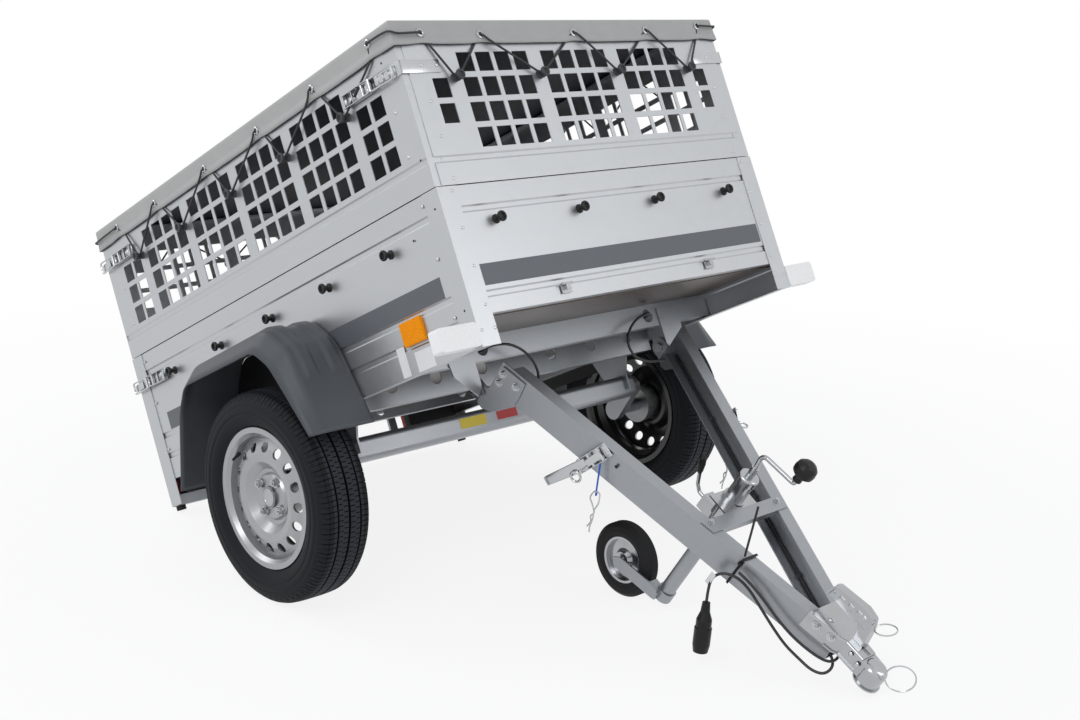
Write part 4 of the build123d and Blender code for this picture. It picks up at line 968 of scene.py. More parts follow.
class TRAILER_OT_mudguards(bpy.types.Operator):
    """Mould the mudguards with their ribs and their inner walls"""

    bl_idname = "trailer.mudguards"
    bl_label = "Mudguards"

    # Corners of the crown and of the lip in the side view, and how far each bend reaches from its corner
    CROWN = (
        (-1.120, -0.450), (-1.012, -0.230), (-0.952, -0.154), (-0.595, -0.151), (-0.524, -0.224),
        (-0.466, -0.446),
    )
    LIP = (
        (-1.120, -0.450), (-1.021, -0.259), (-0.962, -0.198), (-0.615, -0.199), (-0.563, -0.248),
        (-0.475, -0.446),
    )
    TRIMS = (0.022, 0.024, 0.024, 0.020)
    STEPS = 22
    BEND = 8
    WALL = 0.0035
    # Across the guard, from the box outwards: flat columns, the crease and the lip's edge
    ACROSS = (
        0.001, 0.008, 0.015, 0.020, 0.026, 0.034, 0.042, 0.048, 0.053, 0.060, 0.076, 0.088, 0.093, 0.098,
        0.104, 0.112, 0.120, 0.126, 0.131, 0.142,
    )
    CREASE = 0.152
    EDGE = 0.189
    CREASE_END = 0.24  # where the bend over the crease ends, as a share of the way to the edge
    RIBS = (0.034, 0.112)
    RIB_HALF = 0.019
    RIB_RAMP = 0.0055
    RIB_RUN_OUT = 0.016
    RIB_PROUD = 0.0060
    RIB_ENDS = (-0.664, -0.308)  # x on the crown, z on the front face
    LINER_LOW = -0.415
    LINER_OUT = 0.0014
    LINER_WALL = 0.0016

    def execute(self, context):
        crown, lip = self.bent(self.CROWN), self.bent(self.LIP)
        for side, sign in SIDES:
            guard, liner = self.guard(crown, lip, sign), self.liner(crown, sign)
            piece = place_piece(guard, "mudguard_moulded_" + side, "bed", "guard", BED, 50)
            give_thickness(piece, self.WALL)
            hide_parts("mudguard_" + side)
            place_piece(liner, "mudguard_liner_" + side, "bed", "plastic", BED)
        return {"FINISHED"}

    def guard(self, crown, lip, sign):
        """The outer sheet: a grid with its rows along the crown and its columns from the box to the lip."""
        rows, columns = len(crown), len(self.ACROSS) + self.BEND + 3
        size = Vector((rows - 1, columns - 1, 1))
        shape = bmesh.new()
        place = Matrix.Translation((size.x / 2, size.y / 2, 0)) @ Matrix.Diagonal((*size, 1))
        bmesh.ops.create_grid(shape, x_segments=rows - 1, y_segments=columns - 1, size=0.5, matrix=place)
        for vert in shape.verts:
            row, column = round(vert.co.x), round(vert.co.y)
            way = (crown[min(row + 1, rows - 1)] - crown[max(row - 1, 0)]).normalized()
            across, seen = self.section(crown[row], lip[row], column)
            seen = seen + Vector((-way.y, way.x)) * self.rib(crown[row], across)
            vert.co = (seen.x, sign * (HALF_WIDTH + across), seen.y)
        return shape

    def liner(self, crown, sign):
        """The flat inner wall against the box."""
        shape = bmesh.new()
        outline = [
            shape.verts.new((x, sign * (HALF_WIDTH + self.LINER_OUT), z - self.WALL))
            for x, z in crown if z > self.LINER_LOW
        ]
        bmesh.ops.contextual_create(shape, geom=outline)
        made = bmesh.ops.extrude_face_region(shape, geom=shape.faces[:])["geom"]
        raised = [item for item in made if isinstance(item, bmesh.types.BMVert)]
        bmesh.ops.translate(shape, vec=(0, sign * self.LINER_WALL, 0), verts=raised)
        return shape

    def bent(self, corners):
        """A line through the corners with soft bends, finely divided."""
        corners = [Vector(corner) for corner in corners]
        line = [corners[0]]
        for before, corner, after, trim in zip(corners, corners[1:], corners[2:], self.TRIMS):
            start = corner + (before - corner).normalized() * trim
            end = corner + (after - corner).normalized() * trim
            line += self.divided(line[-1], start)
            line += [eased_corner(start, corner, end, step / self.BEND) for step in range(1, self.BEND + 1)]
        return line + self.divided(line[-1], corners[-1])

    def divided(self, start, end):
        return [start.lerp(end, step / self.STEPS) for step in range(1, self.STEPS + 1)]

    def section(self, crown, lip, column):
        """Distance from the box and place in the guard's side view of one column of points."""
        if column < len(self.ACROSS):
            return self.ACROSS[column], crown
        column -= len(self.ACROSS)
        start, corner = Vector((self.ACROSS[-1], *crown)), Vector((self.CREASE, *crown))
        edge = Vector((self.EDGE, *lip))
        end = corner.lerp(edge, self.CREASE_END)
        if column <= self.BEND:
            point = eased_corner(start, corner, end, (column + 1) / (self.BEND + 1))
        else:
            point = end.lerp(edge, (column - self.BEND) / 2)
        return point.x, Vector((point.y, point.z))

    def rib(self, point, across):
        """Height of the ribs at a point of the crown."""
        start, end = self.RIB_ENDS
        if point.x <= start:
            return 0.0
        along = min(point.x - start, point.y - end) / self.RIB_RUN_OUT
        inside = max(self.RIB_HALF - abs(across - rib) for rib in self.RIBS) / self.RIB_RAMP
        level = max(0.0, min(inside, along, 1.0))
        return self.RIB_PROUD * level * level * (3 - 2 * level)


class TRAILER_OT_corner_latches(bpy.types.Operator):
    """Fit the over-centre latches of the mesh walls"""

    bl_idname = "trailer.corner_latches"
    bl_label = "Corner latches"

    FACE = 0.0006
    ROUNDED = 0.0005
    PLACES = (  # start of the lever, way along the wall, height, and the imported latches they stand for
        (-0.218, 1, 0.287, "latches_front"),
        (-1.350, -1, 0.287, "latches_rear"),
        (-1.350, -1, -0.089, "latches_low"),
    )
    # The front latches' strap round the corner post
    STRAP_WALL, STRAP_HALF, STRAP_ROUNDED = 0.0022, 0.016, 0.0004
    STRAP_END, STRAP_BACK, STRAP_FRONT = 0.454, -0.040, (0.0005, 0.0033)
    # Each latch from its lever's hinge end: along, outwards, and up
    PLATES = (
        ((0.050, 0.150), (0.0, 0.0020), (-0.0130, 0.0130)),
        ((0.004, 0.104), (0.0045, 0.0065), (-0.0145, 0.0145)),
        ((0.0, 0.104), (0.0035, 0.0170), (0.0145, 0.0165)),
        ((0.0, 0.104), (0.0035, 0.0170), (-0.0165, -0.0145)),
        ((0.070, 0.124), (0.0020, 0.0125), (0.0120, 0.0145)),
        ((0.070, 0.124), (0.0020, 0.0125), (-0.0145, -0.0120)),
        ((0.0, 0.005), (0.0035, 0.0150), (-0.0160, 0.0160)),
        ((0.036, 0.039), (0.0060, 0.0150), (-0.0145, 0.0145)),
    )
    PINS = ((0.076, 0.0115, 0.0035), (0.108, 0.0135, 0.0052))  # along, outwards, radius
    PIN_HALF = 0.0150
    BAIL = (
        (0.098, 0.0115, 0.0), (0.098, 0.0115, 0.0085), (0.104, 0.0120, 0.0135), (0.140, 0.0120, 0.0150),
        (0.184, 0.0105, 0.0160), (0.1925, 0.0095, 0.0115), (0.1930, 0.0095, 0.0),
    )
    BAIL_WIRE = 0.0024
    TONGUE = ((0.130, 0.0120), (0.142, 0.0100), (0.158, 0.0062), (0.176, 0.0030), (0.196, 0.0022))
    TONGUE_HALF, TONGUE_WALL, TONGUE_LAP = 0.0100, 0.0008, 0.0008

    def execute(self, context):
        for start, way, height, node in self.PLACES:
            shape = bmesh.new()
            for wall, sign in SIDES:
                corner = WALLS[wall](start, self.FACE, height)
                self.latch(shape, lambda along, out, up: corner + Vector((way * along, sign * out, up)))
                if node == "latches_front":
                    self.strap(shape, sign, height)
            piece = place_piece(shape, node + "_toggles", "bed", "fittings", BED)
            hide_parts(node)
        return {"FINISHED"}

    def strap(self, shape, sign, height):
        inner = sign * (HALF_WIDTH + self.FACE)
        outer = sign * (HALF_WIDTH + self.FACE + self.STRAP_WALL)
        low, high = height - self.STRAP_HALF, height + self.STRAP_HALF
        back, front = self.STRAP_FRONT
        add_box(shape, (self.STRAP_BACK, inner, low), (front, outer, high), self.STRAP_ROUNDED)
        add_box(shape, (back, sign * self.STRAP_END, low), (front, outer, high), self.STRAP_ROUNDED)

    def latch(self, shape, at):
        """One latch, drawn in its wall's coordinates from the hinge end of its lever."""
        for corners in self.PLATES:
            ends = [at(*end) for end in zip(*corners)]
            add_box(shape, *ends, self.ROUNDED)
        for along, out, radius in self.PINS:
            add_rod(shape, [at(along, out, -self.PIN_HALF), at(along, out, self.PIN_HALF)], radius, 12)
        loop = [*self.BAIL, *((along, out, -up) for along, out, up in reversed(self.BAIL[1:-1]))]
        add_rod(shape, [at(*point) for point in eased(loop, 4, closed=True)], self.BAIL_WIRE, closed=True)
        for (start, out), (end, far) in zip(self.TONGUE, self.TONGUE[1:]):
            low, high = sorted((out, far))
            add_box(
                shape, at(start, low - self.TONGUE_WALL, -self.TONGUE_HALF),
                at(end + self.TONGUE_LAP, high + self.TONGUE_WALL, self.TONGUE_HALF), self.ROUNDED,
            )


class TRAILER_OT_tyres(bpy.types.Operator):
    """Mould the tyres with their tread"""

    bl_idname = "trailer.tyres"
    bl_label = "Tyres"

    # Half of the cross-section from the bead to the middle: distance from the middle, and radius
    SIDE = (
        (0.0500, 0.1652), (0.0560, 0.1700), (0.0585, 0.1832), (0.0690, 0.1915), (0.0745, 0.2020),
        (0.0768, 0.2120), (0.0772, 0.2170), (0.0764, 0.2180), (0.0764, 0.2195), (0.0774, 0.2205),
        (0.0775, 0.2280), (0.0766, 0.2365), (0.0758, 0.2375), (0.0758, 0.2388), (0.0762, 0.2398),
        (0.0742, 0.2470),
    )
    SHOULDER = (
        (0.0722, 0.2520), (0.0690, 0.2580), (0.0645, 0.2640), (0.0585, 0.2690), (0.0500, 0.2718),
        (0.0385, 0.2728),
    )
    GROOVE = ((0.0366, 0.2728), (0.0356, 0.2648), (0.0322, 0.2648), (0.0312, 0.2731))
    OUTER_RIB = ((0.0300, 0.2732), (0.0205, 0.2734))
    LAND = ((0.0192, 0.2734), (0.0172, 0.2734))
    INNER_RIB = ((0.0159, 0.2734), (0.0050, 0.2735))
    CENTRE = ((0.0036, 0.2735), (0.0026, 0.2652))
    # Rings of each pitch; the middle two are sunk into sipes, which fade out towards the sidewall
    FRACTIONS = (0.0, 0.05, 0.15, 0.20)
    SUNK = (1, 2)
    SIPED = ("shoulder", "outer rib", "inner rib")
    SIPE_DEPTH = 0.0050
    FINE_DEPTH = 0.0022
    SIPE_END, SIPE_FADE = 0.0735, 0.006
    # Lean of the sipes in pitches: slanted on the shoulder, and set off from rib to rib
    SHOULDER_EDGE, SHOULDER_WIDTH, SHOULDER_LEAN = 0.034, 0.04, 0.25
    INNER_EDGE, INNER_SHIFT, SIDE_SHIFT = 0.018, 0.5, 0.25

    def execute(self, context):
        pitches = context.scene.trailer_sizes.tread_pitches
        for side, sign in SIDES:
            place = BED @ Matrix.Translation(WHEEL + Vector((0, sign * WHEEL_Y, 0)))
            shape, body = self.tread(pitches), "wheel_" + side
            piece = place_piece(shape, "tyre_moulded_" + side, body, "tyre", place, 50)
            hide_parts("tyre_" + side)
        return {"FINISHED"}

    def section(self):
        """The whole cross-section: points (y, radius) with their kind, from one bead to the other."""
        bands = (
            (self.SIDE, "side"), (self.SHOULDER, "shoulder"), (self.GROOVE, "groove"),
            (self.OUTER_RIB, "outer rib"), (self.LAND, "land"), (self.INNER_RIB, "inner rib"),
            (self.CENTRE, "groove"),
        )
        half = [(y, radius, kind) for points, kind in bands for y, radius in points]
        return half + [(-y, radius, kind) for y, radius, kind in reversed(half)]

    def tread(self, pitches):
        """The section turned about the axle, with each ring moved and sunk to cut the sipes."""
        shape = bmesh.new()
        mark = shape.verts.layers.int.new("point")
        section = self.section()
        verts = [shape.verts.new((0, y, radius)) for y, radius, _ in section]
        for place, vert in enumerate(verts):
            vert[mark] = place
        edges = [shape.edges.new(pair) for pair in zip(verts, verts[1:] + verts[:1])]
        rings = pitches * len(self.FRACTIONS)
        spin_closed(shape, verts + edges, (0, 1, 0), rings)
        for vert in shape.verts:
            y, radius, kind = section[vert[mark]]
            ring = round(atan2(vert.co.x, vert.co.z) / tau * rings) % rings
            pitch, part = divmod(ring, len(self.FRACTIONS))
            if part in self.SUNK and kind in self.SIPED:
                full = self.FINE_DEPTH if kind == "shoulder" and pitch % 2 else self.SIPE_DEPTH
                radius -= full * min(1.0, (self.SIPE_END - abs(y)) / self.SIPE_FADE)
            angle = (pitch + self.FRACTIONS[part] + self.lean(y)) / pitches * tau
            vert.co = (radius * sin(angle), y, radius * cos(angle))
        return shape

    def lean(self, y):
        """How far a point of the section is turned ahead, in pitches."""
        away = abs(y)
        if away > self.SHOULDER_EDGE:
            return self.SHOULDER_LEAN * (away - self.SHOULDER_EDGE) / self.SHOULDER_WIDTH
        return (self.INNER_SHIFT if away < self.INNER_EDGE else 0.0) + (self.SIDE_SHIFT if y > 0 else 0.0)


class TRAILER_OT_wheel_fittings(bpy.types.Operator):
    """Fit the wheel bolts, the hub caps and the tyre valves"""

    bl_idname = "trailer.wheel_fittings"
    bl_label = "Wheel fittings"

    BOLT_PLACE = (0.050, 0, 0.0398)
    BOLT_ANGLES = (35, 125, 215, 305)
    COLLAR = ((0.0, 0.0), (0.0125, 0.0), (0.0118, 0.0030), (0.0100, 0.0050), (0.0, 0.0050))
    COLLAR_SEAT = (0, 0, 0.0042)
    BOLT_HEAD = (0.017, 0.0075)  # across the flats, and height
    CAP = (
        (0.0, 0.0465), (0.0225, 0.0472), (0.0225, 0.0482), (0.0195, 0.0486), (0.0190, 0.0478),
        (0.0, 0.0476),
    )
    VALVE = (
        (0.0, 0.0), (0.0052, 0.0), (0.0048, 0.012), (0.0036, 0.014), (0.0036, 0.030), (0.0030, 0.032),
        (0.0, 0.032),
    )
    VALVE_PLACE = (0.152, 0, 0.048)
    VALVE_ANGLE = 120
    VALVE_LEAN = -28

    def execute(self, context):
        for side, sign in SIDES:
            body = "wheel_" + side
            wheel = facing(WHEEL + Vector((0, sign * WHEEL_Y, 0)), (0, sign, 0))
            bolts, cap, valve = bmesh.new(), bmesh.new(), bmesh.new()
            for angle in self.BOLT_ANGLES:
                place = self.turned(wheel, angle, self.BOLT_PLACE)
                add_turned(bolts, self.COLLAR, place, 20)
                add_hex(bolts, place @ Matrix.Translation(self.COLLAR_SEAT), *self.BOLT_HEAD)
            place_piece(bolts, "wheel_bolts_" + side, body, "zinc", BED)
            add_turned(cap, self.CAP, wheel, 40)
            place_piece(cap, "hub_cap_face_" + side, body, "zinc", BED, 50)
            place = self.turned(wheel, self.VALVE_ANGLE, self.VALVE_PLACE)
            add_turned(valve, self.VALVE, place @ Matrix.Rotation(radians(self.VALVE_LEAN), 4, "Y"), 14)
            place_piece(valve, "tyre_valve_" + side, body, "rubber", BED)
        return {"FINISHED"}

    def turned(self, wheel, angle, place):
        """A place on the wheel, turned about its axle."""
        return wheel @ Matrix.Rotation(radians(angle), 4, "Z") @ Matrix.Translation(place)


class TRAILER_OT_fasteners(bpy.types.Operator):
    """Drive the visible bolts, screws and rivets"""

    bl_idname = "trailer.fasteners"
    bl_label = "Fasteners"

    # Bolts on the beams' webs: places (x, z), the web's y at x = 0, and the head's height
    BEAM_BOLTS = (
        (((0.955, 0.106), (0.995, 0.107)), 0.3505, 0.008),
        (((0.0445, 0.0898), (0.0462, 0.0611), (0.0876, 0.0843)), 0.3502, 0.007),
    )
    BOLT_ACROSS = 0.014
    NOSE_RIVETS, NOSE_HEAD = ((1.050, -0.0315, 0.105), (1.076, -0.0315, 0.099)), (0.006, 0.003)
    TOP_DOME, TOP_HEAD = (0.963, -0.020, 0.1195), (0.008, 0.004)
    CHANNEL_SCREWS, SCREW_HEAD = ((0.625, -0.126, 0.1185), (0.628, 0.122, 0.1185)), (0.010, 0.005)
    # The near beam's web has an open bore here; a dark disc fills it as painted shade
    BEAM_HOLE = (0.389, -0.2312, 0.091)
    HOLE_DISC = (0.0045, 0.0002, 0.0007)
    # Rivets of the corner posts and the mesh walls, and the dark discs of painted shade in their empty bores:
    # across or along, and height
    FRONT_RIVETS = (
        (0.525, -0.0137), (0.525, -0.1027), (0.525, -0.1937), (0.525, -0.2856), (0.5566, -0.342),
        (0.5159, -0.342), (0.509, 0.2024), (0.509, 0.1173), (0.509, 0.0151),
    )
    SIDE_RIVETS = (
        (-0.066, -0.0267), (-0.066, -0.1538), (-0.066, -0.2943), (-0.063, 0.2000), (-0.063, 0.0920),
    )
    RIVET, STRAP_RIVET = (0.0042, 0.0022), (0.0045, 0.0022)
    STRAP_RIVETS = ((0.5075, 0.0033, 0.2888), (0.4630, 0.0033, 0.2886))
    SIDE_HOLES = (
        (-0.025, -0.0462), (-0.026, -0.2881), (-0.0253, 0.0709), (-0.062, 0.3221), (-0.129, -0.0883),
    )
    WALL_DISC = (0.0028, 0, 0.0006)
    DISC_OUT = -0.0003

    def execute(self, context):
        self.drawbar()
        self.walls()
        return {"FINISHED"}

    def drawbar(self):
        shape, hole_shade = bmesh.new(), bmesh.new()
        for _, sign in SIDES:
            for places, face, height in self.BEAM_BOLTS:
                for x, z in places:
                    place = facing((x, sign * (face - SPLAY * x), z), (SPLAY, sign, 0))
                    add_hex(shape, place, self.BOLT_ACROSS, height)
            for x, y, z in self.NOSE_RIVETS:
                add_dome(shape, facing((x, sign * y, z), (0, -sign, 0)), *self.NOSE_HEAD)
        add_dome(shape, facing(self.TOP_DOME, (0, 0, 1)), *self.TOP_HEAD)
        for place in self.CHANNEL_SCREWS:
            add_hex(shape, facing(place, (0, 0, 1)), *self.SCREW_HEAD)
        place_piece(shape, "drawbar_fasteners", "drawbar", "fittings", DRAWBAR)
        # painted shade: a dark disc in the beam web's open bore, in the black plastic finish
        add_disc(hole_shade, facing(self.BEAM_HOLE, (SPLAY, -1, 0)), *self.HOLE_DISC, 18)
        place_piece(hole_shade, "beam_hole_shade", "drawbar", "plastic", DRAWBAR)

    def walls(self):
        rivets, hole_shades = bmesh.new(), bmesh.new()
        for wall, sign in SIDES:
            for across, up in self.FRONT_RIVETS:
                add_dome(rivets, on_wall("front", sign * across, 0, up), *self.RIVET)
            for across, out, up in self.STRAP_RIVETS:
                add_dome(rivets, on_wall("front", sign * across, out, up), *self.STRAP_RIVET)
            for along, up in self.SIDE_RIVETS:
                for place in (along, -BOX_LENGTH - along):
                    add_dome(rivets, on_wall(wall, place, 0, up), *self.RIVET)
            for along, up in self.SIDE_HOLES:
                # painted shade: a dark disc in each empty bore of the walls
                add_disc(hole_shades, on_wall(wall, along, self.DISC_OUT, up), *self.WALL_DISC, 12)
        place_piece(rivets, "wall_rivets", "bed", "fittings", BED)
        place_piece(hole_shades, "wall_hole_shades", "bed", "plastic", BED)


class TRAILER_OT_wire_rings(bpy.types.Operator):
    """Thread the thin wire rings through the coupling"""

    bl_idname = "trailer.wire_rings"
    bl_label = "Wire rings"

    WIRE = 0.0019
    TURN = 350
    RINGS = (  # centre, axis and radius, in the drawbar's axes
        ((1.163, 0.0, 0.143), (0.51, -0.74, 0.13), 0.0345),
        ((1.067, 0.0, 0.203), (-0.57, -0.17, 0.88), 0.0255),
    )

    def execute(self, context):
        shape = bmesh.new()
        for centre, axis, radius in self.RINGS:
            place = facing(centre, axis)
            line = arc(Vector(), radius, self.TURN, (0, 1, 0), 44)
            add_rod(shape, [place @ point for point in line], self.WIRE, closed=True)
        place_piece(shape, "wire_rings", "drawbar", "fittings", DRAWBAR)
        return {"FINISHED"}


class TRAILER_OT_tilt_locks(bpy.types.Operator):
    """Fit the toggle latches to the beams, with their eye bolts and hanging spring clips"""

    bl_idname = "trailer.tilt_locks"
    bl_label = "Tilt locks"

    WEB = 0.3497
    ORIGIN_X = 0.337
    ROUNDED = 0.0006
    # Each latch from its own origin on the web: along the beam, outwards, and up
    TOP, LOW = Vector((0.0146, 0, 0.117)), Vector((-0.0178, 0, 0.034))
    HINGE, TIP = Vector((-0.0080, 0.0165, 0.052)), Vector((-0.0685, 0.0165, -0.067))
    EYE, SHANK = Vector((-0.0125, 0.021, 0.004)), Vector((-0.0026, 0.017, 0.052))
    EYE_RADIUS, EYE_WIRE, EYE_TURN = 0.0135, 0.0032, 345
    # Bars: width across the latch and depth outwards
    PLATE, PLATE_OUT = (0.036, 0.002), 0.001
    CHEEK, CHEEK_ACROSS, CHEEK_OUT, CHEEK_START = (0.002, 0.017), 0.017, 0.0085, 0.12
    LINK, LINK_START, LINK_OUT = (0.018, 0.003), 0.2, 0.014
    LEVER, LEVER_TAPER, LEVER_WIRE = (0.030, 0.002), 0.76, 0.0026
    LEVER_SIDE, LEVER_SIDE_IN, LEVER_SIDE_ACROSS = (0.002, 0.010), 0.004, (0.0145, 0.0108)
    LEVER_TIP, LEVER_TIP_IN, LEVER_TIP_LONG = (0.0228, 0.010), 0.0045, 0.015
    PIN_HALF, PIN_RADIUS = 0.0185, 0.0042
    SHANK_START, COLLAR_START, COLLAR = 0.014, 0.020, (0.0058, 0, 0.006)
    PINS = ((0.25, 0.011), (0.62, 0.012))  # share of the way down the plate, and outwards
    OPEN_LEVER = (  # from the hinge
        (0.000, 0.000, 0.000), (0.008, 0.004, 0.002), (0.012, 0.030, 0.005), (0.014, 0.056, 0.006),
        (0.006, 0.064, 0.006), (-0.004, 0.056, 0.004), (-0.006, 0.030, 0.003), (-0.006, 0.004, 0.001),
    )
    # The twine and the spring clip hang in an upright plane: x and z, in the drawbar's axes
    TWINE = ((0.3600, 0.078), (0.3632, 0.071), (0.3945, 0.0054), (0.3950, 0.0100))
    CLIP = (
        (0.4222, -0.0817), (0.4225, -0.066), (0.4155, -0.052), (0.4172, -0.040), (0.4105, -0.029),
        (0.3955, -0.024), (0.3875, -0.0150), (0.3850, -0.002), (0.3905, 0.0110), (0.4015, 0.0140),
        (0.4100, 0.0060), (0.4135, -0.012), (0.4150, -0.031), (0.4215, -0.052), (0.4290, -0.076),
        (0.4336, -0.091),
    )
    HANG_OUT = 0.014
    CLIP_WEAVE, CLIP_WIRE, TWINE_RADIUS = 0.0016, 0.0019, 0.0022

    def execute(self, context):
        metal, twine = bmesh.new(), bmesh.new()
        for side, sign in SIDES:
            self.latch(metal, self.web(sign), side == "left")
            hang = sign * (self.WEB - SPLAY * self.TWINE[0][0] + self.HANG_OUT)
            clip = [(x, hang - self.CLIP_WEAVE * (-1) ** turn, z) for turn, (x, z) in enumerate(self.CLIP)]
            add_rod(metal, eased(clip, 4), self.CLIP_WIRE)
            add_rod(twine, eased([(x, hang, z) for x, z in self.TWINE], 4), self.TWINE_RADIUS)
        locks = place_piece(metal, "tilt_lock_latches", "drawbar", "fittings", DRAWBAR)
        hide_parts("tilt_locks")
        place_piece(twine, "clip_twine", "drawbar", "blue", DRAWBAR)
        return {"FINISHED"}

    def web(self, sign):
        """A latch's own frame on its beam's web."""
        along = Vector((1, -sign * SPLAY, 0)).normalized()
        out = Vector((SPLAY, sign, 0)).normalized()
        origin = Vector((self.ORIGIN_X, sign * (self.WEB - SPLAY * self.ORIGIN_X), 0))
        return Matrix.Translation(origin) @ Matrix((along, out, (0, 0, 1))).transposed().to_4x4()

    def latch(self, shape, place, opened):
        """One latch; the opened one's lever stands out from the beam."""
        top, down, out = self.TOP, self.LOW - self.TOP, Vector((0, 1, 0))
        across = down.cross(out).normalized()
        back = out * self.PLATE_OUT
        self.bar(shape, place, top + back, self.LOW + back, *self.PLATE)
        for edge in (self.CHEEK_ACROSS, -self.CHEEK_ACROSS):
            shift = across * edge + out * self.CHEEK_OUT
            self.bar(shape, place, top + shift + down * self.CHEEK_START, self.LOW + shift, *self.CHEEK)
        for share, height in self.PINS:
            centre = top + down * share + out * height
            ends = [place @ (centre + across * half) for half in (self.PIN_HALF, -self.PIN_HALF)]
            add_rod(shape, ends, self.PIN_RADIUS, 10)
        start = top + down * self.LINK_START + out * self.LINK_OUT
        self.bar(shape, place, start, self.HINGE + back, *self.LINK)
        if opened:
            lever = eased([self.HINGE + Vector(point) for point in self.OPEN_LEVER], 4, closed=True)
            add_rod(shape, [place @ point for point in lever], self.LEVER_WIRE, 10, closed=True)
        else:
            self.lever(shape, place, out)
        self.eye_bolt(shape, place)

    def lever(self, shape, place, out):
        """The closed lever, a channel that hangs from the hinge."""
        way = self.TIP - self.HINGE
        across = way.cross(out).normalized()
        self.bar(shape, place, self.HINGE, self.TIP, *self.LEVER, self.LEVER_TAPER)
        wide, narrow = self.LEVER_SIDE_ACROSS
        shift = out * self.LEVER_SIDE_IN
        for edge in (1, -1):
            start, end = self.HINGE + across * wide * edge, self.TIP + across * narrow * edge
            self.bar(shape, place, start - shift, end - shift, *self.LEVER_SIDE)
        start, end = self.TIP - out * self.LEVER_TIP_IN, self.TIP + way * self.LEVER_TIP_LONG
        self.bar(shape, place, start, end, *self.LEVER_TIP)

    def eye_bolt(self, shape, place):
        ring = arc(self.EYE, self.EYE_RADIUS, self.EYE_TURN, (0, 0, 1), 23)
        add_rod(shape, [place @ point for point in ring], self.EYE_WIRE, 10, closed=True)
        way = (self.SHANK - self.EYE).normalized()
        shank = [place @ (self.EYE + way * self.SHANK_START), place @ self.SHANK]
        add_rod(shape, shank, self.EYE_WIRE, 10)
        collar = facing(place @ (self.EYE + way * self.COLLAR_START), place.to_3x3() @ way)
        add_disc(shape, collar, *self.COLLAR, 6)

    def bar(self, shape, place, start, end, width, depth, taper=1.0):
        """A flat bar between two points, its depth along the latch's outward axis."""
        way = end - start
        across = way.cross(Vector((0, 1, 0))).normalized()
        turn = Matrix((across * width, Vector((0, depth, 0)), way)).transposed().to_4x4()
        middle = Matrix.Translation((start + end) / 2)
        verts = bmesh.ops.create_cube(shape, size=1, matrix=middle @ turn)["verts"]
        for vert in verts:
            if (vert.co - end).length < (vert.co - start).length:
                vert.co += across * (vert.co - end).dot(across) * (taper - 1)
        bmesh.ops.transform(shape, matrix=place, verts=verts)
        round_edges(shape, verts, self.ROUNDED)


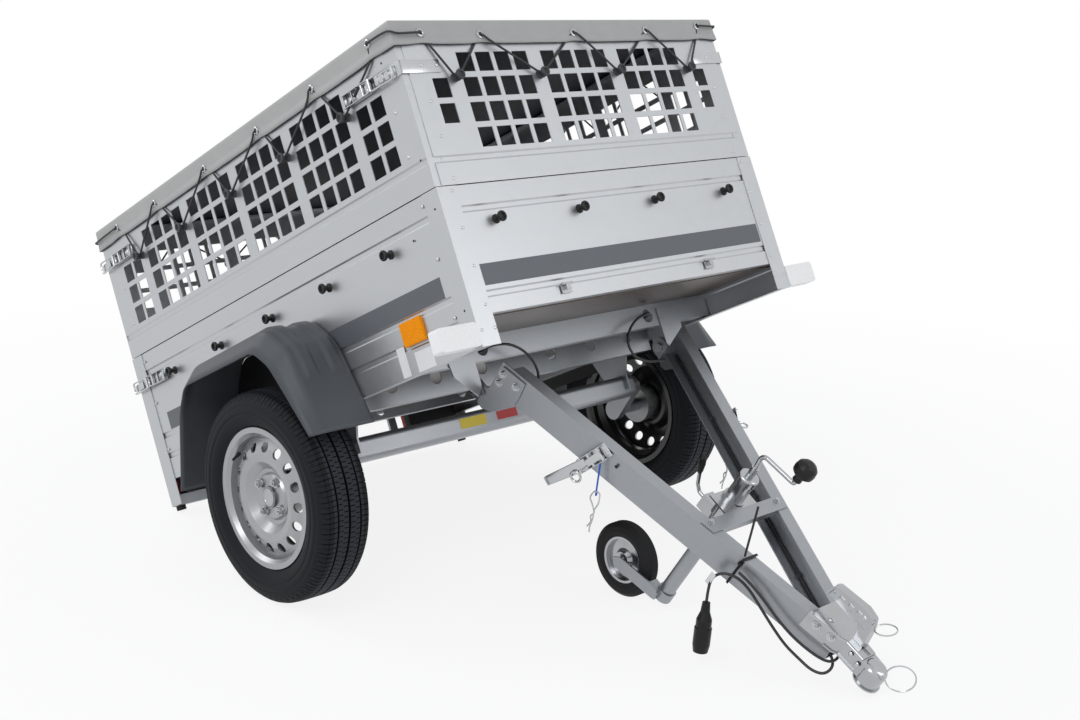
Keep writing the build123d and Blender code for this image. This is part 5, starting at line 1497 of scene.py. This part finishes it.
class TRAILER_OT_stage(bpy.types.Operator):
    """Set the floor, the lights and the camera"""

    bl_idname = "trailer.stage"
    bl_label = "Stage"

    CAMERA_IN_BED = Vector((2.609, -2.863, -0.746))
    CAMERA_TURN = (95.1674, 16.4719, 48.2524)
    FOCAL_LENGTH = 51.99
    FLOOR_SIZE = 14.0
    FLOOR_GREYS = (0.83, 0.84, 0.85)
    BACKDROP = ((0.10, 0.86), (0.28, 1.0))  # where the floor fades to white, as shares of its size
    SKY = ((0.90, 0.93, 0.97), 0.62)
    WHITE = ((1.0, 1.0, 1.0), 1.0)
    LAMPS = (  # name, place, aim, width, height, power
        ("key", (1.9, -5.4, 5.4), (0.0, 0.0, 0.5), 4.0, 3.0, 150),
        ("fill", (5.5, 2.5, 3.0), (0.2, 0.0, 0.5), 3.0, 3.0, 60),
        ("back", (-4.5, -2.5, 4.0), (0.0, 0.0, 0.6), 3.0, 2.5, 60),
    )

    def execute(self, context):
        context.scene.view_settings.view_transform = "Standard"
        self.floor()
        self.world(context.scene)
        for lamp in self.LAMPS:
            self.lamp(*lamp)
        self.camera(context.scene)
        return {"FINISHED"}

    def put(self, name, data):
        """Links an object into the scene."""
        holder = bpy.data.objects.new(name, data)
        bpy.context.scene.collection.objects.link(holder)
        return holder

    def floor(self):
        shape = bmesh.new()
        bmesh.ops.create_grid(shape, x_segments=2, y_segments=2, size=self.FLOOR_SIZE / 2)
        mesh = bpy.data.meshes.new("floor_plane")
        shape.to_mesh(mesh)
        shape.free()
        dark, grey, light = ((level, level, level) for level in self.FLOOR_GREYS)
        finish = Finish("studio floor", grey, 0.7)
        finish.set("Base Color", finish.blend(finish.noise(30), dark, light))
        away = finish.node("ShaderNodeVectorMath", {"operation": "LENGTH"}, [finish.place], "Value")
        backdrop = finish.node("ShaderNodeValToRGB", {"stops": self.BACKDROP}, [away / self.FLOOR_SIZE])
        glow = finish.node("ShaderNodeEmission")
        surface = Value(finish, finish.shader.outputs[0])
        mix = finish.node("ShaderNodeMixShader", None, [backdrop * finish.seen(), surface, glow])
        finish.join(finish.tree.nodes["Material Output"].inputs["Surface"], mix)
        mesh.materials.append(finish.material)
        self.put("studio_floor", mesh)

    def world(self, scene):
        """Soft sky light on the object, and plain white where the camera, metal or glass shows it."""
        scene.world = bpy.data.worlds.new("studio")
        scene.world.use_nodes = True
        nodes = Nodes(scene.world.node_tree)
        nodes.tree.nodes.clear()
        lights = [
            nodes.node("ShaderNodeBackground", None, {"Color": (*colour, 1), "Strength": strength})
            for colour, strength in (self.SKY, self.WHITE)
        ]
        mix = nodes.node("ShaderNodeMixShader", None, [nodes.seen(), *lights])
        nodes.join(nodes.tree.nodes.new("ShaderNodeOutputWorld").inputs["Surface"], mix)

    def lamp(self, name, place, aim, width, height, power):
        light = bpy.data.lights.new(name, "AREA")
        light.shape = "RECTANGLE"
        light.size = width
        light.size_y = height
        light.energy = power
        place = Vector(place)
        aimed = (Vector(aim) - place).to_track_quat("-Z", "Y").to_matrix().to_4x4()
        self.put(name, light).matrix_world = Matrix.Translation(place) @ aimed

    def camera(self, scene):
        camera = bpy.data.cameras.new("camera")
        camera.lens = self.FOCAL_LENGTH
        camera.sensor_width = 36.0
        camera.clip_end = 60.0
        scene.camera = self.put("camera", camera)
        turn = Euler([radians(angle) for angle in self.CAMERA_TURN]).to_matrix().to_4x4()
        scene.camera.matrix_world = BED @ Matrix.Translation(self.CAMERA_IN_BED) @ turn


STEPS = (
    TRAILER_OT_finishes,
    TRAILER_OT_cables,
    TRAILER_OT_eyelets,
    TRAILER_OT_cover,
    TRAILER_OT_elastic,
    TRAILER_OT_knobs,
    TRAILER_OT_stripes,
    TRAILER_OT_mudguards,
    TRAILER_OT_corner_latches,
    TRAILER_OT_tyres,
    TRAILER_OT_wheel_fittings,
    TRAILER_OT_fasteners,
    TRAILER_OT_wire_rings,
    TRAILER_OT_tilt_locks,
    TRAILER_OT_stage,
)


class TRAILER_PT_dressing(bpy.types.Panel):
    """Lists the steps that dress the trailer"""

    bl_idname = "TRAILER_PT_dressing"
    bl_label = "Trailer"
    bl_space_type = "VIEW_3D"
    bl_region_type = "UI"
    bl_category = "Trailer"

    def draw(self, context):
        for step in STEPS:
            self.layout.operator(step.bl_idname)


CLASSES = (TrailerSizes, TrailerColours, *STEPS, TRAILER_PT_dressing)


def register():
    for item in CLASSES:
        bpy.utils.register_class(item)
    bpy.types.Scene.trailer_sizes = PointerProperty(type=TrailerSizes)
    bpy.types.Scene.trailer_colours = PointerProperty(type=TrailerColours)


def unregister():
    del bpy.types.Scene.trailer_colours
    del bpy.types.Scene.trailer_sizes
    for item in reversed(CLASSES):
        bpy.utils.unregister_class(item)


def main():
    register()
    names = [step.__name__.removeprefix("TRAILER_OT_") for step in STEPS]
    for name in names:
        getattr(bpy.ops.trailer, name)()


if __name__ == "__main__":
    main()
